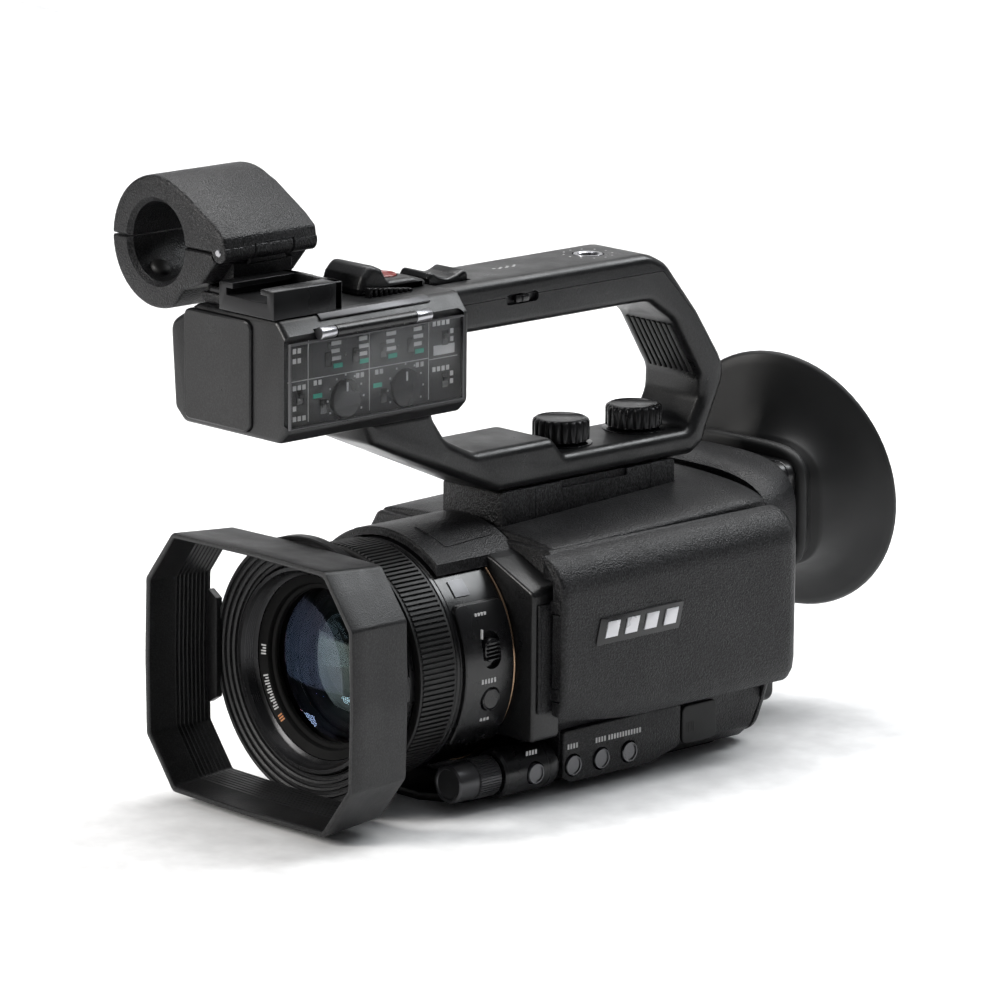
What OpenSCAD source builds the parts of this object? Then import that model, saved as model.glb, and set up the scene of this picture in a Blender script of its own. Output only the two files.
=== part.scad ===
// Handheld professional camcorder with hood, side screen, rear viewfinder, detachable
// audio handle and microphone holder. Millimetres. +Z up, the lens looks along -Y, +X is the
// screen side. The origin is the mouth of the tripod socket in the flat base.
// Modules are drawn about the lens axis with Y = 0 at the hood's front edge, then placed.

/* [Lens] */
// Height of the lens axis above the base
axis_z = 45; // [44.8:0.1:45.4]
// Distance from the hood's front edge to the tripod socket
socket_y = 110; // [106:1:114]
// Half the hood's front width
hood_hw = 48; // [47:0.5:50]
// Half the hood's front height
hood_hh = 41.8; // [41:0.1:42.5]
// Hood wall thickness
hood_wall = 2; // [1.6:0.1:2.2]
// Filter thread bore radius
thread_r = 31; // [30.6:0.1:31.2]
// Focus ring radius
focus_r = 38; // [37.6:0.1:39]
// Number of grip grooves round the focus ring
focus_grooves = 60; // [36:4:72]
// Radius of the fixed lens barrel
barrel_r = 37.2; // [36.8:0.1:37.4]
// Front glass radius
glass_r = 24.3; // [22:0.1:24.4]

/* [Body] */
// Outer face of the closed side screen
lcd_x = 52; // [51:0.5:54]
// Rear end of the side screen
lcd_rear = 191; // [188:1:191]
// Half width of the top cover
top_w = 39.5; // [38:0.5:39.5]
// Button radius on the side panel
btn_r = 3.3; // [2.8:0.1:3.3]
// Menu dial radius
dial_r = 6.4; // [5.6:0.1:6.5]
// Hand strap height
strap_h = 42; // [34:1:44]

/* [Handle] */
// Half width of the handle
handle_hw = 14; // [13:0.5:15]
// Height of the handle's top face above the lens axis
handle_top = 117; // [116.6:0.1:117.1]
// Thumb knob radius
knob_r = 9.4; // [8.6:0.1:10]
// Flutes round a thumb knob
knob_flutes = 20; // [12:2:24]

/* [Microphone holder] */
// Outer radius of the holder
mic_r = 20.7; // [19.5:0.1:20.8]
// Bore radius behind the rubber pads
mic_bore = 12.5; // [12:0.1:13]
// Radius the pads grip
mic_grip = 10.5; // [10:0.1:10.8]

/* [Hidden] */
$fn = 96;
fit = 0.05;
hood_len = 24.4;
dial_x = 33;
dial_z = -35.2;
pin_x = 48.5;
pin_y = 87.2;
knob_y = [133.8, 166.6];
button_y = [101.5, 113.9, 126.3];
mic_x = -33.2;
mic_z = 134.7;
hinge_x = -4.2;
hinge_z = 135.3;
shoe_x = 8.5;
jack_y = [16, 46];
audio_dial_y = [18.6, 43.1];
vf_z = 25;
top_rise = 2.63;

// ---- helpers -------------------------------------------------------------------------
module place() { translate([0, -socket_y, axis_z]) children(); }

module block(x0, x1, y0, y1, z0, z1) {
  translate([x0, y0, z0]) cube([x1 - x0, y1 - y0, z1 - z0]);
}

module rod_x(r, x0, x1, y, z) { translate([x0, y, z]) rotate([0, 90, 0]) cylinder(r = r, h = x1 - x0); }

module rod_y(r, y0, y1, x = 0, z = 0) {
  translate([x, y0, z]) rotate([-90, 0, 0]) cylinder(r = r, h = y1 - y0);
}

module rod_z(r, z0, z1, x, y) { translate([x, y, z0]) cylinder(r = r, h = z1 - z0); }

module ring_y(ro, ri, y0, y1, x = 0, z = 0) {
  difference() {
    rod_y(ro, y0, y1, x, z);
    rod_y(ri, y0 - 1, y1 + 1, x, z);
  }
}

// A flat outline in X and Z drawn out along Y, and one in Y and Z drawn out along X.
module prism_y(y0, y1) { translate([0, y1, 0]) rotate([90, 0, 0]) linear_extrude(y1 - y0) children(); }

module prism_x(x0, x1) { translate([x0, 0, 0]) rotate([90, 0, 90]) linear_extrude(x1 - x0) children(); }

module block2(x0, x1, y0, y1) { translate([x0, y0]) square([x1 - x0, y1 - y0]); }

module rrect(x0, x1, y0, y1, r) {
  translate([x0 + r, y0]) square([x1 - x0 - 2 * r, y1 - y0]);
  translate([x0, y0 + r]) square([x1 - x0, y1 - y0 - 2 * r]);
  for (x = [x0 + r, x1 - r], y = [y0 + r, y1 - r]) translate([x, y]) circle(r = r);
}

module octagon(hw, hh, cx, cz) {
  polygon([[cx - hw, hh], [hw - cx, hh], [hw, hh - cz], [hw, cz - hh],
    [hw - cx, -hh], [cx - hw, -hh], [-hw, cz - hh], [-hw, hh - cz]]);
}

function arc(x, z, r, a0, a1, n) =
  [for (i = [0:n]) [x + r * cos(a0 + (a1 - a0) * i / n), z + r * sin(a0 + (a1 - a0) * i / n)]];

// ---- lens ----------------------------------------------------------------------------
module hood_shell(w) {
  hull() {
    prism_y(w > 0 ? -1 : 0, w > 0 ? 0 : 0.5) octagon(hood_hw - w, hood_hh - w, 12.7 - w / 3, 16.5 - w / 3);
    prism_y(hood_len - (w > 0 ? 0 : 0.5), hood_len + (w > 0 ? 1 : 0))
      octagon(hood_hw - 1.6 - w, hood_hh - 1.8 - w, 11.7 - w / 3, 15.2 - w / 3);
  }
}

module hood() {
  color([0.07, 0.07, 0.075]) place() {
    difference() {
      hood_shell(0);
      hood_shell(hood_wall);
    }
    difference() {
      ring_y(42.4, 33.3, 24, 28.4);
      for (k = [0:3]) ring_y(41.3 - 2.2 * k, 40.2 - 2.2 * k, 23, 25.2);
    }
    for (s = [-1, 1]) block(min(s * 41.2, s * 45.2), max(s * 41.2, s * 45.2), 22.6, 25.4, -13, 13);
    ring_y(36.8, 33.3, 28.2, 34);
  }
}

module filter_ring() {
  color([0.09, 0.09, 0.095]) place() {
    ring_y(33, thread_r, 25.2, 30.4);
    ring_y(33, 29.5, 30.4, 37.6);
  }
}

module name_ring() {
  color([0.05, 0.05, 0.055]) place() translate([0, 30.7, 0]) rotate([-90, 0, 0]) rotate_extrude()
    polygon([[29.3, 0], [24.6, 3], [24.6, 4.6], [29.3, 4.6]]);
}

module front_lens() {
  color([0.25, 0.2, 0.4, 0.5]) place() intersection() {
    translate([0, 32.2 + 62, 0]) sphere(r = 62, $fn = 180);
    rod_y(glass_r, 30, 39);
  }
}

module inner_lens_tube() {
  color([0.04, 0.04, 0.045]) place() {
    ring_y(29.2, 26.6, 39.4, 76);
    ring_y(26.8, 20, 56, 58);
    ring_y(26.8, 14, 72, 74);
  }
}

module image_sensor() {
  color([0.05, 0.25, 0.12]) place() {
    block(-16, 16, 98, 99.6, -13, 13);
    block(-9, 9, 96.6, 98.1, -6.5, 6.5);
  }
}

module focus_ring() {
  color([0.06, 0.06, 0.065]) place() difference() {
    ring_y(focus_r, 35.2, 38, 53.8);
    for (k = [0:focus_grooves - 1]) rotate([0, k * 360 / focus_grooves, 0])
      block(focus_r - 0.7, focus_r + 1, 39.6, 52.2, -0.45, 0.45);
  }
}

module pad_slot(y0, y1, r, h) {
  translate([y0, y1 - h]) circle(r = r);
  translate([y0, y1 + h]) circle(r = r);
  translate([y0 - r, y1 - h]) square([2 * r, 2 * h]);
}

module lens_barrel() {
  color([0.08, 0.08, 0.085]) place() difference() {
    union() {
      ring_y(35.15, 33.3, 36, 55);
      ring_y(barrel_r, 33.3, 54.2, 77.8);
      intersection() {
        ring_y(38.9, 36, 56.4, 77);
        block(0, 60, 56, 78, -24, 21);
      }
    }
    prism_x(30, 42) pad_slot(67.6, 6.8, 3.7, 2.3);
    rod_x(3.9, 30, 42, 67.5, -9);
  }
}

module accent_ring() { color([0.62, 0.38, 0.24]) place() ring_y(37.5, 33.3, 77.95, 78.7); }

module zoom_focus_switch() {
  color([0.1, 0.1, 0.105]) place() difference() {
    rod_x(3.4, 35.2, 40, 67.6, 6.8);
    for (dz = [-1.8, 0, 1.8]) block(39.3, 41, 63, 72, 6.4 + dz, 7.2 + dz);
  }
}

module focus_mode_button() { color([0.09, 0.09, 0.095]) place() rod_x(3.6, 34.6, 38.5, 67.5, -9); }

module lens_top_cover() {
  color([0.06, 0.06, 0.065]) place() difference() {
    intersection() {
      ring_y(40.3, 37.8, 57, 92);
      block(-33, 24, 56, 93, 26, 45);
    }
    intersection() {
      ring_y(42, 39.9, 66, 88);
      block(4, 18, 66, 88, 30, 45);
    }
  }
}

// ---- body ----------------------------------------------------------------------------
module front_outline(i) {
  polygon([[-46 + i, -38 + i], [-40 + i, -42 + i], [18 - i, -42 + i], [18 - i, -24 + i],
    [45 - i, -24 + i], [45 - i, 24.5 - i], [26.5 - i / 2, 31.6 - i], [13, 36.2 - i],
    [-13, 36.2 - i], [-40 + i, 30 - i], [-46 + i, 22 - i]]);
}

module front_housing() {
  color([0.07, 0.07, 0.075]) place() difference() {
    prism_y(78.85, 90) front_outline(0);
    prism_y(81, 91) front_outline(2);
    rod_y(28.6, 78, 82);
    // the barrel's top cover reaches back through this notch
    intersection() {
      rod_y(40.6, 77, 92);
      block(-33.3, 24.3, 77, 92, 25.7, 45);
    }
  }
}

module left_outline(i) {
  polygon([[i > 0 ? -1 : 0.2, -42 + i], [35 - i, -42 + i], [38.6 - i, -38.5 + i / 2], [38.6 - i, -24],
    [41.6 - i, -21], [41.6 - i, 31.5 + i], [i > 0 ? -1 : 0.2, 31.5 + i]]);
}

module left_casing() {
  color([0.075, 0.075, 0.08]) place() difference() {
    prism_y(90.3, 188) left_outline(0);
    prism_y(90, 186) left_outline(2);
    block(22, 45, 90, 96.8, -46, -24.4);
    for (y = button_y) rod_x(btn_r + 0.7, 34, 40, y, -36);
    rod_z(6.3, -43, -39, 0, socket_y);
  }
}

module right_outline(i) {
  polygon([[i > 0 ? 1 : -0.2, -42 + i], [-36 + i, -42 + i], [-46 + i, -34 + i], [-49 + i, -15],
    [-49 + i, 12], [-45 + i, 26], [-39.5 + i, 31.5 + (i > 0 ? 1 : 0)], [i > 0 ? 1 : -0.2, 31.5 + i]]);
}

module right_casing() {
  color([0.075, 0.075, 0.08]) place() difference() {
    prism_y(90.3, 188) right_outline(0);
    prism_y(90, 186) right_outline(2);
    rod_z(6.3, -43, -39, 0, socket_y);
    rod_y(6.8, 185, 189, -36, 6);
  }
}

// The arched top: a wide cylinder that rises towards the back.
module top_cover() {
  color([0.085, 0.085, 0.09]) place() difference() {
    intersection() {
      block(-top_w, top_w, 92.4, 188, 31.9, 46);
      translate([0, 52.4, -129.4]) rotate([top_rise - 90, 0, 0]) cylinder(r = 165, h = 200);
    }
    block(-37.4, 37.4, 94.2, 186.2, 29, 32.8);
    block(-13.9, 13.9, 94.7, 172.3, 30, 50);
    rod_z(2.05, 30, 45, -33, 130);
  }
}

module base_plate() {
  color([0.06, 0.06, 0.065]) place() difference() {
    union() {
      block(-30, 27, 59, 182, -45, -42.3);
      block(-30, 17.5, 59, 78.4, -42.5, -38.4);
    }
    rod_z(6, -46, -40, 0, socket_y);
    for (x = [-22, 20], y = [68, 172]) {
      rod_z(2.7, -46, -43.4, x, y);
      rod_z(1.3, -44, -42, x, y);
    }
  }
}

module base_screws() {
  color([0.2, 0.2, 0.21]) place() for (x = [-22, 20], y = [68, 172]) difference() {
    union() {
      rod_z(2.4, -44.7, -43.45, x, y);
      rod_z(1.2, -43.6, y > 100 ? -42.4 : -42.6, x, y);
    }
    for (a = [0, 90]) translate([x, y, -45]) rotate(a) translate([-1.3, -0.25, 0]) cube([2.6, 0.5, 0.9]);
  }
}

module tripod_socket() {
  color([0.55, 0.55, 0.57]) place() difference() {
    rod_z(5.9, -45, -37.6, 0, socket_y);
    rod_z(3.175, -46, -39, 0, socket_y);
  }
}

module rear_housing() {
  color([0.08, 0.08, 0.085]) place() difference() {
    union() {
      prism_y(188.2, 190.2) union() {
        left_outline(0);
        right_outline(0);
        block2(-1, 1, -42, 31.5);
      }
      prism_y(188.2, 210.7) rrect(-27.6, 27.6, 4.8, 45, 7);
    }
    prism_y(190.2, 212) rrect(-25.5, 25.5, 6.8, 42.9, 5);
    rod_y(6.3, 187, 191, -36, 6);
  }
}

module battery_pack() {
  color([0.1, 0.1, 0.105]) place() difference() {
    prism_y(190.5, 212) rrect(-22, 22, -38, 3.6, 4);
    block(-18, 18, 211.4, 213, -30, -29);
    block(-18, 18, 211.4, 213, -6, -5);
  }
}

module main_board() {
  color([0.05, 0.25, 0.12]) place() {
    block(-32, -30.4, 102, 180, -28, 18);
    block(-30.5, -27.5, 112, 128, -10, 6);
    block(-30.5, -28.5, 140, 160, -18, -4);
  }
}

module lcd_hinge() {
  color([0.1, 0.1, 0.105]) place() {
    block(45.05, 45.8, 80.5, 91, -15, 20);
    for (z = [-11, 17]) {
      block(45.7, pin_x, pin_y - 1.75, pin_y + 1.75, z, z + 4);
      rod_z(1.75, z, z + 4, pin_x, pin_y);
    }
    rod_z(1, -13, 23, pin_x, pin_y);
  }
}

module lcd_outline() {
  polygon(concat([[42.3, 33.6], [42.3, -19.5], [lcd_x - 2.5, -21], [lcd_x, -14]],
    arc(lcd_x - 13, 22, 13, 0, 78, 12)));
}

module lcd_panel_shell() {
  color([0.09, 0.09, 0.095]) place() difference() {
    intersection() {
      prism_y(85.2, lcd_rear) lcd_outline();
      prism_x(40, 56) difference() {
        rrect(75, lcd_rear, -22, 50, 9);
      }
    }
    block(40, 47.2, 84, 91.3, -30, 40);
    for (z = [-11, 17]) block(46, 50.7, 84, pin_y + 2.15, z - 0.3, z + 4.3);
    rod_z(1 + fit, -16, 26, pin_x, pin_y);
    block(42, 47.6, 99.4, 176.6, -16.4, 28.4);
  }
}

module lcd_screen() { color([0.02, 0.02, 0.025]) place() block(42.7, 44.6, 99.6, 176.4, -16.2, 28.2); }

module control_panel() {
  color([0.085, 0.085, 0.09]) place() difference() {
    prism_x(38.7, 40.4) rrect(97.2, 149.6, -41.2, -24.6, 2);
    for (y = button_y) rod_x(btn_r + 0.2, 38, 42, y, -36);
  }
}

module dial_pod() {
  color([0.1, 0.1, 0.105]) place() {
    difference() {
      union() {
        rod_y(7.8, 72.6, 96.3, dial_x, dial_z);
        block(22.5, dial_x, 72.6, 96.3, -42, -27.4);
        block(19, 25.6, 58, 73, -42, -27);
        block(19, 29.5, 57, 73, -29, -26);
        block(19, 39, 57, 73, -27.8, -25.6);
      }
      rod_x(btn_r + 0.2, 34, 46, 84.8, -35.6);
      // clear of the barrel above it
      rod_y(37.9, 50, 79.2);
    }
    rod_y(1.5, 55.6, 73, dial_x, dial_z);
  }
}

module menu_dial() {
  color([0.12, 0.12, 0.125]) place() difference() {
    union() {
      rod_y(dial_r - 0.2, 54, 62.6, dial_x, dial_z);
      rod_y(dial_r, 62.5, 72.2, dial_x, dial_z);
    }
    rod_y(1.5 + fit, 55.4, 74, dial_x, dial_z);
    for (k = [0:35]) translate([dial_x, 0, dial_z]) rotate([0, k * 10, 0])
      block(dial_r - 0.45, dial_r + 1, 63.4, 71.4, -0.28, 0.28);
  }
}

module side_button(y, z, x1) {
  difference() {
    rod_x(btn_r, x1 - 3.4, x1, y, z);
    rod_x(btn_r - 0.9, x1 - 0.25, x1 + 1, y, z);
  }
}

module menu_button() { color([0.3, 0.3, 0.31]) place() side_button(84.8, -35.6, 41.3); }
module iris_button() { color([0.3, 0.3, 0.31]) place() side_button(button_y[0], -36, 41.1); }
module gain_button() { color([0.3, 0.3, 0.31]) place() side_button(button_y[1], -36, 41.1); }
module shutter_button() { color([0.3, 0.3, 0.31]) place() side_button(button_y[2], -36, 41.1); }

module jack_cover() {
  color([0.06, 0.06, 0.065]) place() {
    prism_x(39, 40.4) rrect(150.4, 166, -38.2, -25.4, 2);
    for (k = [0:4]) block(40.3, 40.8, 152 + 1.2 * k, 152.6 + 1.2 * k, -36, -30);
    rod_y(0.7, 152.6, 163.8, 40.3, -38.3);
  }
}

// ---- viewfinder ----------------------------------------------------------------------
module viewfinder_tube() {
  color([0.08, 0.08, 0.085]) place() difference() {
    prism_y(192, 219) rrect(-25.1, 25.1, 7.2, 42.5, 4.7);
    prism_y(191, 217) rrect(-22.8, 22.8, 9.5, 40.2, 3);
    rod_y(14.6, 216, 220, 0, vf_z);
  }
}

module eyepiece_lens() {
  color([0.3, 0.35, 0.4, 0.5]) place() intersection() {
    translate([0, 219.4 - 40, vf_z]) sphere(r = 40, $fn = 120);
    rod_y(14.3, 214, 220, 0, vf_z);
  }
}

module cup_rim(a, b, y, t) {
  translate([0, y, 30]) rotate([11, 0, 21.7]) scale([a, 1, b]) rotate([-90, 0, 0])
    cylinder(r = 1, h = t, $fn = 40);
}

module eyecup() {
  color([0.07, 0.07, 0.07]) place() difference() {
    hull() {
      prism_y(219.2, 222) rrect(-27.2, 27.2, 5, 46.6, 7, $fn = 32);
      cup_rim(36.6, 44.3, 240, 1.2);
    }
    hull() {
      rod_y(18, 218, 221.6, 0, vf_z, $fn = 40);
      cup_rim(34.8, 42.5, 242, 3);
    }
  }
}

// ---- grip side -----------------------------------------------------------------------
module hand_strap() {
  color([0.07, 0.07, 0.075]) place() intersection() {
    difference() {
      rod_z(48.3, 1 - strap_h / 2, 1 + strap_h / 2, -16.2, 130);
      rod_z(44.8, -strap_h, strap_h, -16.2, 130);
    }
    block(-80, -49.3, 60, 200, -40, 40);
  }
}

module grip_zoom_lever() {
  color([0.1, 0.1, 0.105]) place() {
    difference() {
      translate([0, 0, 39.2]) linear_extrude(3) rrect(-43, -29, 124, 136, 4);
      for (k = [0:3]) block(-44, -38, 126 + 2.4 * k, 127 + 2.4 * k, 41.6, 43);
    }
    rod_z(2, 36.5, 39.6, -33, 130);
  }
}

module record_button() {
  color([0.5, 0.05, 0.04]) place() difference() {
    rod_y(6, 188.4, 192, -36, 6);
    rod_y(3.4, 191.3, 193, -36, 6);
  }
}

// ---- handle --------------------------------------------------------------------------
module shoe_foot() {
  color([0.09, 0.09, 0.095]) place() difference() {
    block(-13.6, 13.6, 95, 172, 34, 48.2);
    for (y = knob_y) rod_z(3 + fit, 40, 50, 0, y);
    block(13, 15, 120, 150, 46.4, 49);
  }
}

module handle_side() {
  h = handle_top;
  polygon([[93.5, 48.5], [180.6, 48.5], [184.5, 51], [187, 56.5], [194.4, 71], [194.9, 76],
    [192.6, 80.6], [182.2, 95.8], [167.4, h - 4.2], [161.5, h - 1], [155, h], [68.3, h],
    [68.3, 101.4], [159, 101.4], [166, 99.4], [171.5, 93.6], [184, 73.6], [184.4, 68],
    [181.6, 60.4], [178.4, 57], [123.5, 57], [121.5, 57.8], [119.5, 60.8], [116.5, 62.8],
    [86, 62.8], [79, 64.4], [72, 68.4], [66.5, 73.6], [64.8, 79.7], [36.5, 79.7], [40, 71.5]]);
}

// The layer at the top and back of the handle that comes off as its own cover.
module handle_layer(d) {
  h = handle_top;
  polygon([[60, h + 9], [60, h - d], [160, h - d], [165.6, h - 6], [180.6, 94.4], [192, 77.4],
    [204, 77.4], [204, h + 9]]);
}

module handle_frame() {
  color([0.11, 0.11, 0.12]) place() difference() {
    prism_x(-handle_hw, handle_hw) handle_side();
    prism_x(-20, 20) handle_layer(6.2);
    for (y = knob_y) rod_z(3.3, 45, 60, 0, y);
    rod_z(5.2, 104, 120, 0, 145);
    block(handle_hw - 1.6, handle_hw + 1, 95.8, 109.6, 108.4, 112);
  }
}

module handle_top_cover() {
  color([0.12, 0.12, 0.13]) place() difference() {
    intersection() {
      prism_x(-handle_hw, handle_hw) handle_side();
      translate([0, 0.06, 0.06]) prism_x(-20, 20) handle_layer(6.1);
    }
    rod_z(5.2, 104, 120, 0, 145);
    block(handle_hw - 1.6, handle_hw + 1, 95.8, 109.6, 108.4, 111.8);
    block(-7.4, 7.4, 67.8, 87, handle_top - 3.4, 120);
  }
}

module thumb_knob(y) {
  color([0.08, 0.08, 0.085]) place() difference() {
    union() {
      rod_z(knob_r, 58.2, 65.2, 0, y);
      rod_z(knob_r - 0.8, 57.4, 65.6, 0, y);
      rod_z(3, 41, 58, 0, y);
    }
    for (k = [0:knob_flutes - 1]) translate([0, y, 57]) rotate(k * 360 / knob_flutes)
      translate([knob_r + 0.35, 0, 0]) cylinder(r = 0.8, h = 9, $fn = 24);
  }
}

module front_mount_knob() { thumb_knob(knob_y[0]); }
module rear_mount_knob() { thumb_knob(knob_y[1]); }

module handle_zoom_rocker() {
  color([0.14, 0.14, 0.15]) place() difference() {
    union() {
      prism_x(-6.8, 6.8) rrect(68.8, 86.2, handle_top - 2.2, handle_top + 4, 1.6);
      rod_x(0.7, -7.2, 7.2, 77.5, handle_top - 1.4);
    }
    rod_x(16, -8, 8, 77.5, handle_top + 18);
  }
}

module handle_record_button() {
  color([0.55, 0.06, 0.04]) place() difference() {
    rod_z(5, handle_top + 2.1, handle_top + 6.6, 0, 55);
    rod_z(3.6, handle_top + 6.2, handle_top + 8, 0, 55);
  }
}

module hold_switch() {
  color([0.05, 0.05, 0.055]) place() difference() {
    block(handle_hw - 1.3, handle_hw + 0.5, 99.6, 105.6, 108.8, 111.3);
    block(handle_hw, handle_hw + 1, 102.3, 102.9, 108, 112);
  }
}

module handle_thread_insert() {
  color([0.6, 0.6, 0.62]) place() difference() {
    rod_z(4.9, handle_top - 7, handle_top, 0, 145);
    rod_z(3.175, handle_top - 6, handle_top + 1, 0, 145);
  }
}

// ---- audio box -----------------------------------------------------------------------
module cold_shoe() {
  color([0.12, 0.12, 0.125]) place() difference() {
    block(shoe_x - 12.5, shoe_x + 12.5, -8, 20, 118.2, 127);
    block(shoe_x - 9.3, shoe_x + 9.3, -9, 17, 123, 125.2);
    block(shoe_x - 6.3, shoe_x + 6.3, -9, 17, 124, 128);
  }
}

module box_outline(i) {
  polygon([[-27 + i, 84 + i / 2], [-23 + i / 2, 80 + i], [22 - i / 2, 80 + i], [26 - i, 84 + i / 2],
    [26 - i, 112 - i], [21 - i / 2, 118 - i], [-16 + i / 2, 118 - i], [-28.5 + i, 110.5 - i]]);
}

module xlr_box() {
  color([0.1, 0.1, 0.105]) place() {
    difference() {
      prism_y(-8, 68) box_outline(0);
      prism_y(0, 64) box_outline(3.5);
      block(-21.2, 10.2, -9, -3.8, 81.4, 116.6);
      block(24.2, 30, -6.6, 66.2, 84.6, 113.4);
      rod_y(2.5, 5.4, 51.8, 26.2, 113.3);
      for (y = jack_y) rod_x(11.9, -32, -20, y, 97);
      for (y = audio_dial_y) rod_x(6, 18, 26, y, 91.4);
    }
    difference() {
      prism_y(38, 66) block2(-10.5, 10.5, 117.9, 122.4);
      rod_z(5.3, 115, 130, 0, 55);
    }
  }
}

module xlr_front_cover() {
  color([0.11, 0.11, 0.115]) place() prism_y(-8.6, -4.1) rrect(-21, 10, 81.6, 116.4, 3);
}

module xlr_jacks() {
  color([0.15, 0.15, 0.16]) place() for (y = jack_y) difference() {
    rod_x(11.7, -29, -14, y, 97);
    rod_x(8, -30, -17, y, 97);
    for (a = [90, 210, 330]) rod_x(1.4, -18, -15, y + 4.2 * cos(a), 97 + 4.2 * sin(a));
  }
}

module audio_cover() {
  color([0.5, 0.55, 0.6, 0.3]) place() {
    block(25.3, 26.4, -6, 65.6, 85, 111.2);
    block(25.3, 26.4, 8, 49.4, 111, 113.3);
    rod_y(1.9, 5.8, 51.4, 26.2, 113.3);
  }
}

module audio_dial(y) {
  color([0.07, 0.07, 0.075]) place() difference() {
    rod_x(5.8, 20.6, 24.9, y, 91.4);
    block(24.5, 26, y - 0.4, y + 0.4, 94.6, 98);
  }
}

module audio_dial_1() { audio_dial(audio_dial_y[0]); }
module audio_dial_2() { audio_dial(audio_dial_y[1]); }

module audio_switches() {
  color([0.16, 0.16, 0.17]) place() {
    for (k = [0:3]) block(24.25, 25, 10.4 + 11.2 * k, 12.4 + 11.2 * k, 102.6, 105.8);
    for (k = [0:1]) block(24.25, 25, 8.4 + 24.6 * k, 10.4 + 24.6 * k, 88.6, 91.8);
    for (z = [90, 103]) block(24.25, 25, 58.4, 60.4, z, z + 3.2);
    block(24.25, 25, -1, 1, 92.6, 95.8);
  }
}

// ---- microphone holder ---------------------------------------------------------------
module holder_outline() {
  translate([mic_x, mic_z]) circle(r = mic_r);
  translate([hinge_x, hinge_z]) circle(r = 3.2);
}

module mic_holder_base() {
  color([0.11, 0.11, 0.115]) place() difference() {
    union() {
      difference() {
        prism_y(-8, 30) intersection() {
          union() {
            holder_outline();
            polygon([[mic_x, 125], [-15, 122], [-5.6, 131.4], [hinge_x, 135], [mic_x, 135]]);
          }
          block2(-60, 4, 100, mic_z - 0.2);
        }
        rod_y(3.5, -9, 4.8, hinge_x, hinge_z);
        rod_y(3.5, 20, 31, hinge_x, hinge_z);
      }
      block(-15.2, -6.2, 0, 24, 118.2, 130);
      rod_y(3.2, 4.8, 20, hinge_x, hinge_z);
    }
    rod_y(mic_bore, -9, 31, mic_x, mic_z);
    rod_y(1.2, -9, 31, hinge_x, hinge_z);
  }
}

module mic_holder_cap() {
  color([0.11, 0.11, 0.115]) place() difference() {
    union() {
      prism_y(-8, 30) intersection() {
        union() {
          holder_outline();
          polygon([[mic_x + mic_r * cos(61), mic_z + mic_r * sin(61)], [-1.4, 140], [-1, 136],
            [hinge_x, 133], [mic_x, 134]]);
        }
        block2(-60, 4, mic_z + 0.2, 160);
      }
      rod_y(3.2, -8, 4.5, hinge_x, hinge_z);
      rod_y(3.2, 20.3, 30, hinge_x, hinge_z);
    }
    rod_y(mic_bore, -9, 31, mic_x, mic_z);
    rod_y(3.5, 4.5, 20.3, hinge_x, hinge_z);
    rod_y(1.2 + fit, -9, 31, hinge_x, hinge_z);
  }
}

module mic_holder_pin() { color([0.7, 0.7, 0.72]) place() rod_y(1.2, -8, 30, hinge_x, hinge_z); }

module mic_pads() {
  color([0.03, 0.03, 0.03]) place() for (a = [35, -35], y = [0, 22]) intersection() {
    ring_y(mic_bore - 0.02, mic_grip, y - 5, y + 5, mic_x, mic_z);
    translate([mic_x, y, mic_z]) rotate([0, a, 0]) translate([0, 0, -14]) cylinder(r = 3.4, h = 6);
  }
}

hood();
filter_ring();
name_ring();
front_lens();
inner_lens_tube();
image_sensor();
focus_ring();
lens_barrel();
accent_ring();
zoom_focus_switch();
focus_mode_button();
lens_top_cover();
front_housing();
left_casing();
right_casing();
top_cover();
base_plate();
base_screws();
tripod_socket();
rear_housing();
battery_pack();
main_board();
lcd_hinge();
lcd_panel_shell();
lcd_screen();
control_panel();
dial_pod();
menu_dial();
menu_button();
iris_button();
gain_button();
shutter_button();
jack_cover();
viewfinder_tube();
eyepiece_lens();
eyecup();
hand_strap();
grip_zoom_lever();
record_button();
shoe_foot();
handle_frame();
handle_top_cover();
front_mount_knob();
rear_mount_knob();
handle_zoom_rocker();
handle_record_button();
hold_switch();
handle_thread_insert();
cold_shoe();
xlr_box();
xlr_front_cover();
xlr_jacks();
audio_cover();
audio_dial_1();
audio_dial_2();
audio_switches();
mic_holder_base();
mic_holder_cap();
mic_holder_pin();
mic_pads();
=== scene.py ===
from math import acos, atan2, copysign, cos, degrees, pi, radians, sin, sqrt, tan

import bmesh
import bpy
from mathutils import Matrix, Vector


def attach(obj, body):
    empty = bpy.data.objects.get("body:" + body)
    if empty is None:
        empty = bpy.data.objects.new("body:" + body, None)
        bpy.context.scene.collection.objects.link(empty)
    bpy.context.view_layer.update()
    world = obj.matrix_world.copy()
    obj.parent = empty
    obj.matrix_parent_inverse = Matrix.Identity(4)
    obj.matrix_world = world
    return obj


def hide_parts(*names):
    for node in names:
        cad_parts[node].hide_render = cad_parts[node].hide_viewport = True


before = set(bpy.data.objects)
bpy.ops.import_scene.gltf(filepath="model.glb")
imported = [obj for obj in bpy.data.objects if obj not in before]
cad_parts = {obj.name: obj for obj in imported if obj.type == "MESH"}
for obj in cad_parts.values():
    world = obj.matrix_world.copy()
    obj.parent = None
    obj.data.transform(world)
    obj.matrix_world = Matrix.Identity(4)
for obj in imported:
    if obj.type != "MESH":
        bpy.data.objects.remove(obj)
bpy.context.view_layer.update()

MAIN = "camera_body"
SOCKET_Y, AXIS_Z = 110.0, 45.0      # the frame's origin, measured from the hood's front edge on the lens axis
AZIMUTH, ELEVATION, ROLL = 46.28, 12.85, 0.54

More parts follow.
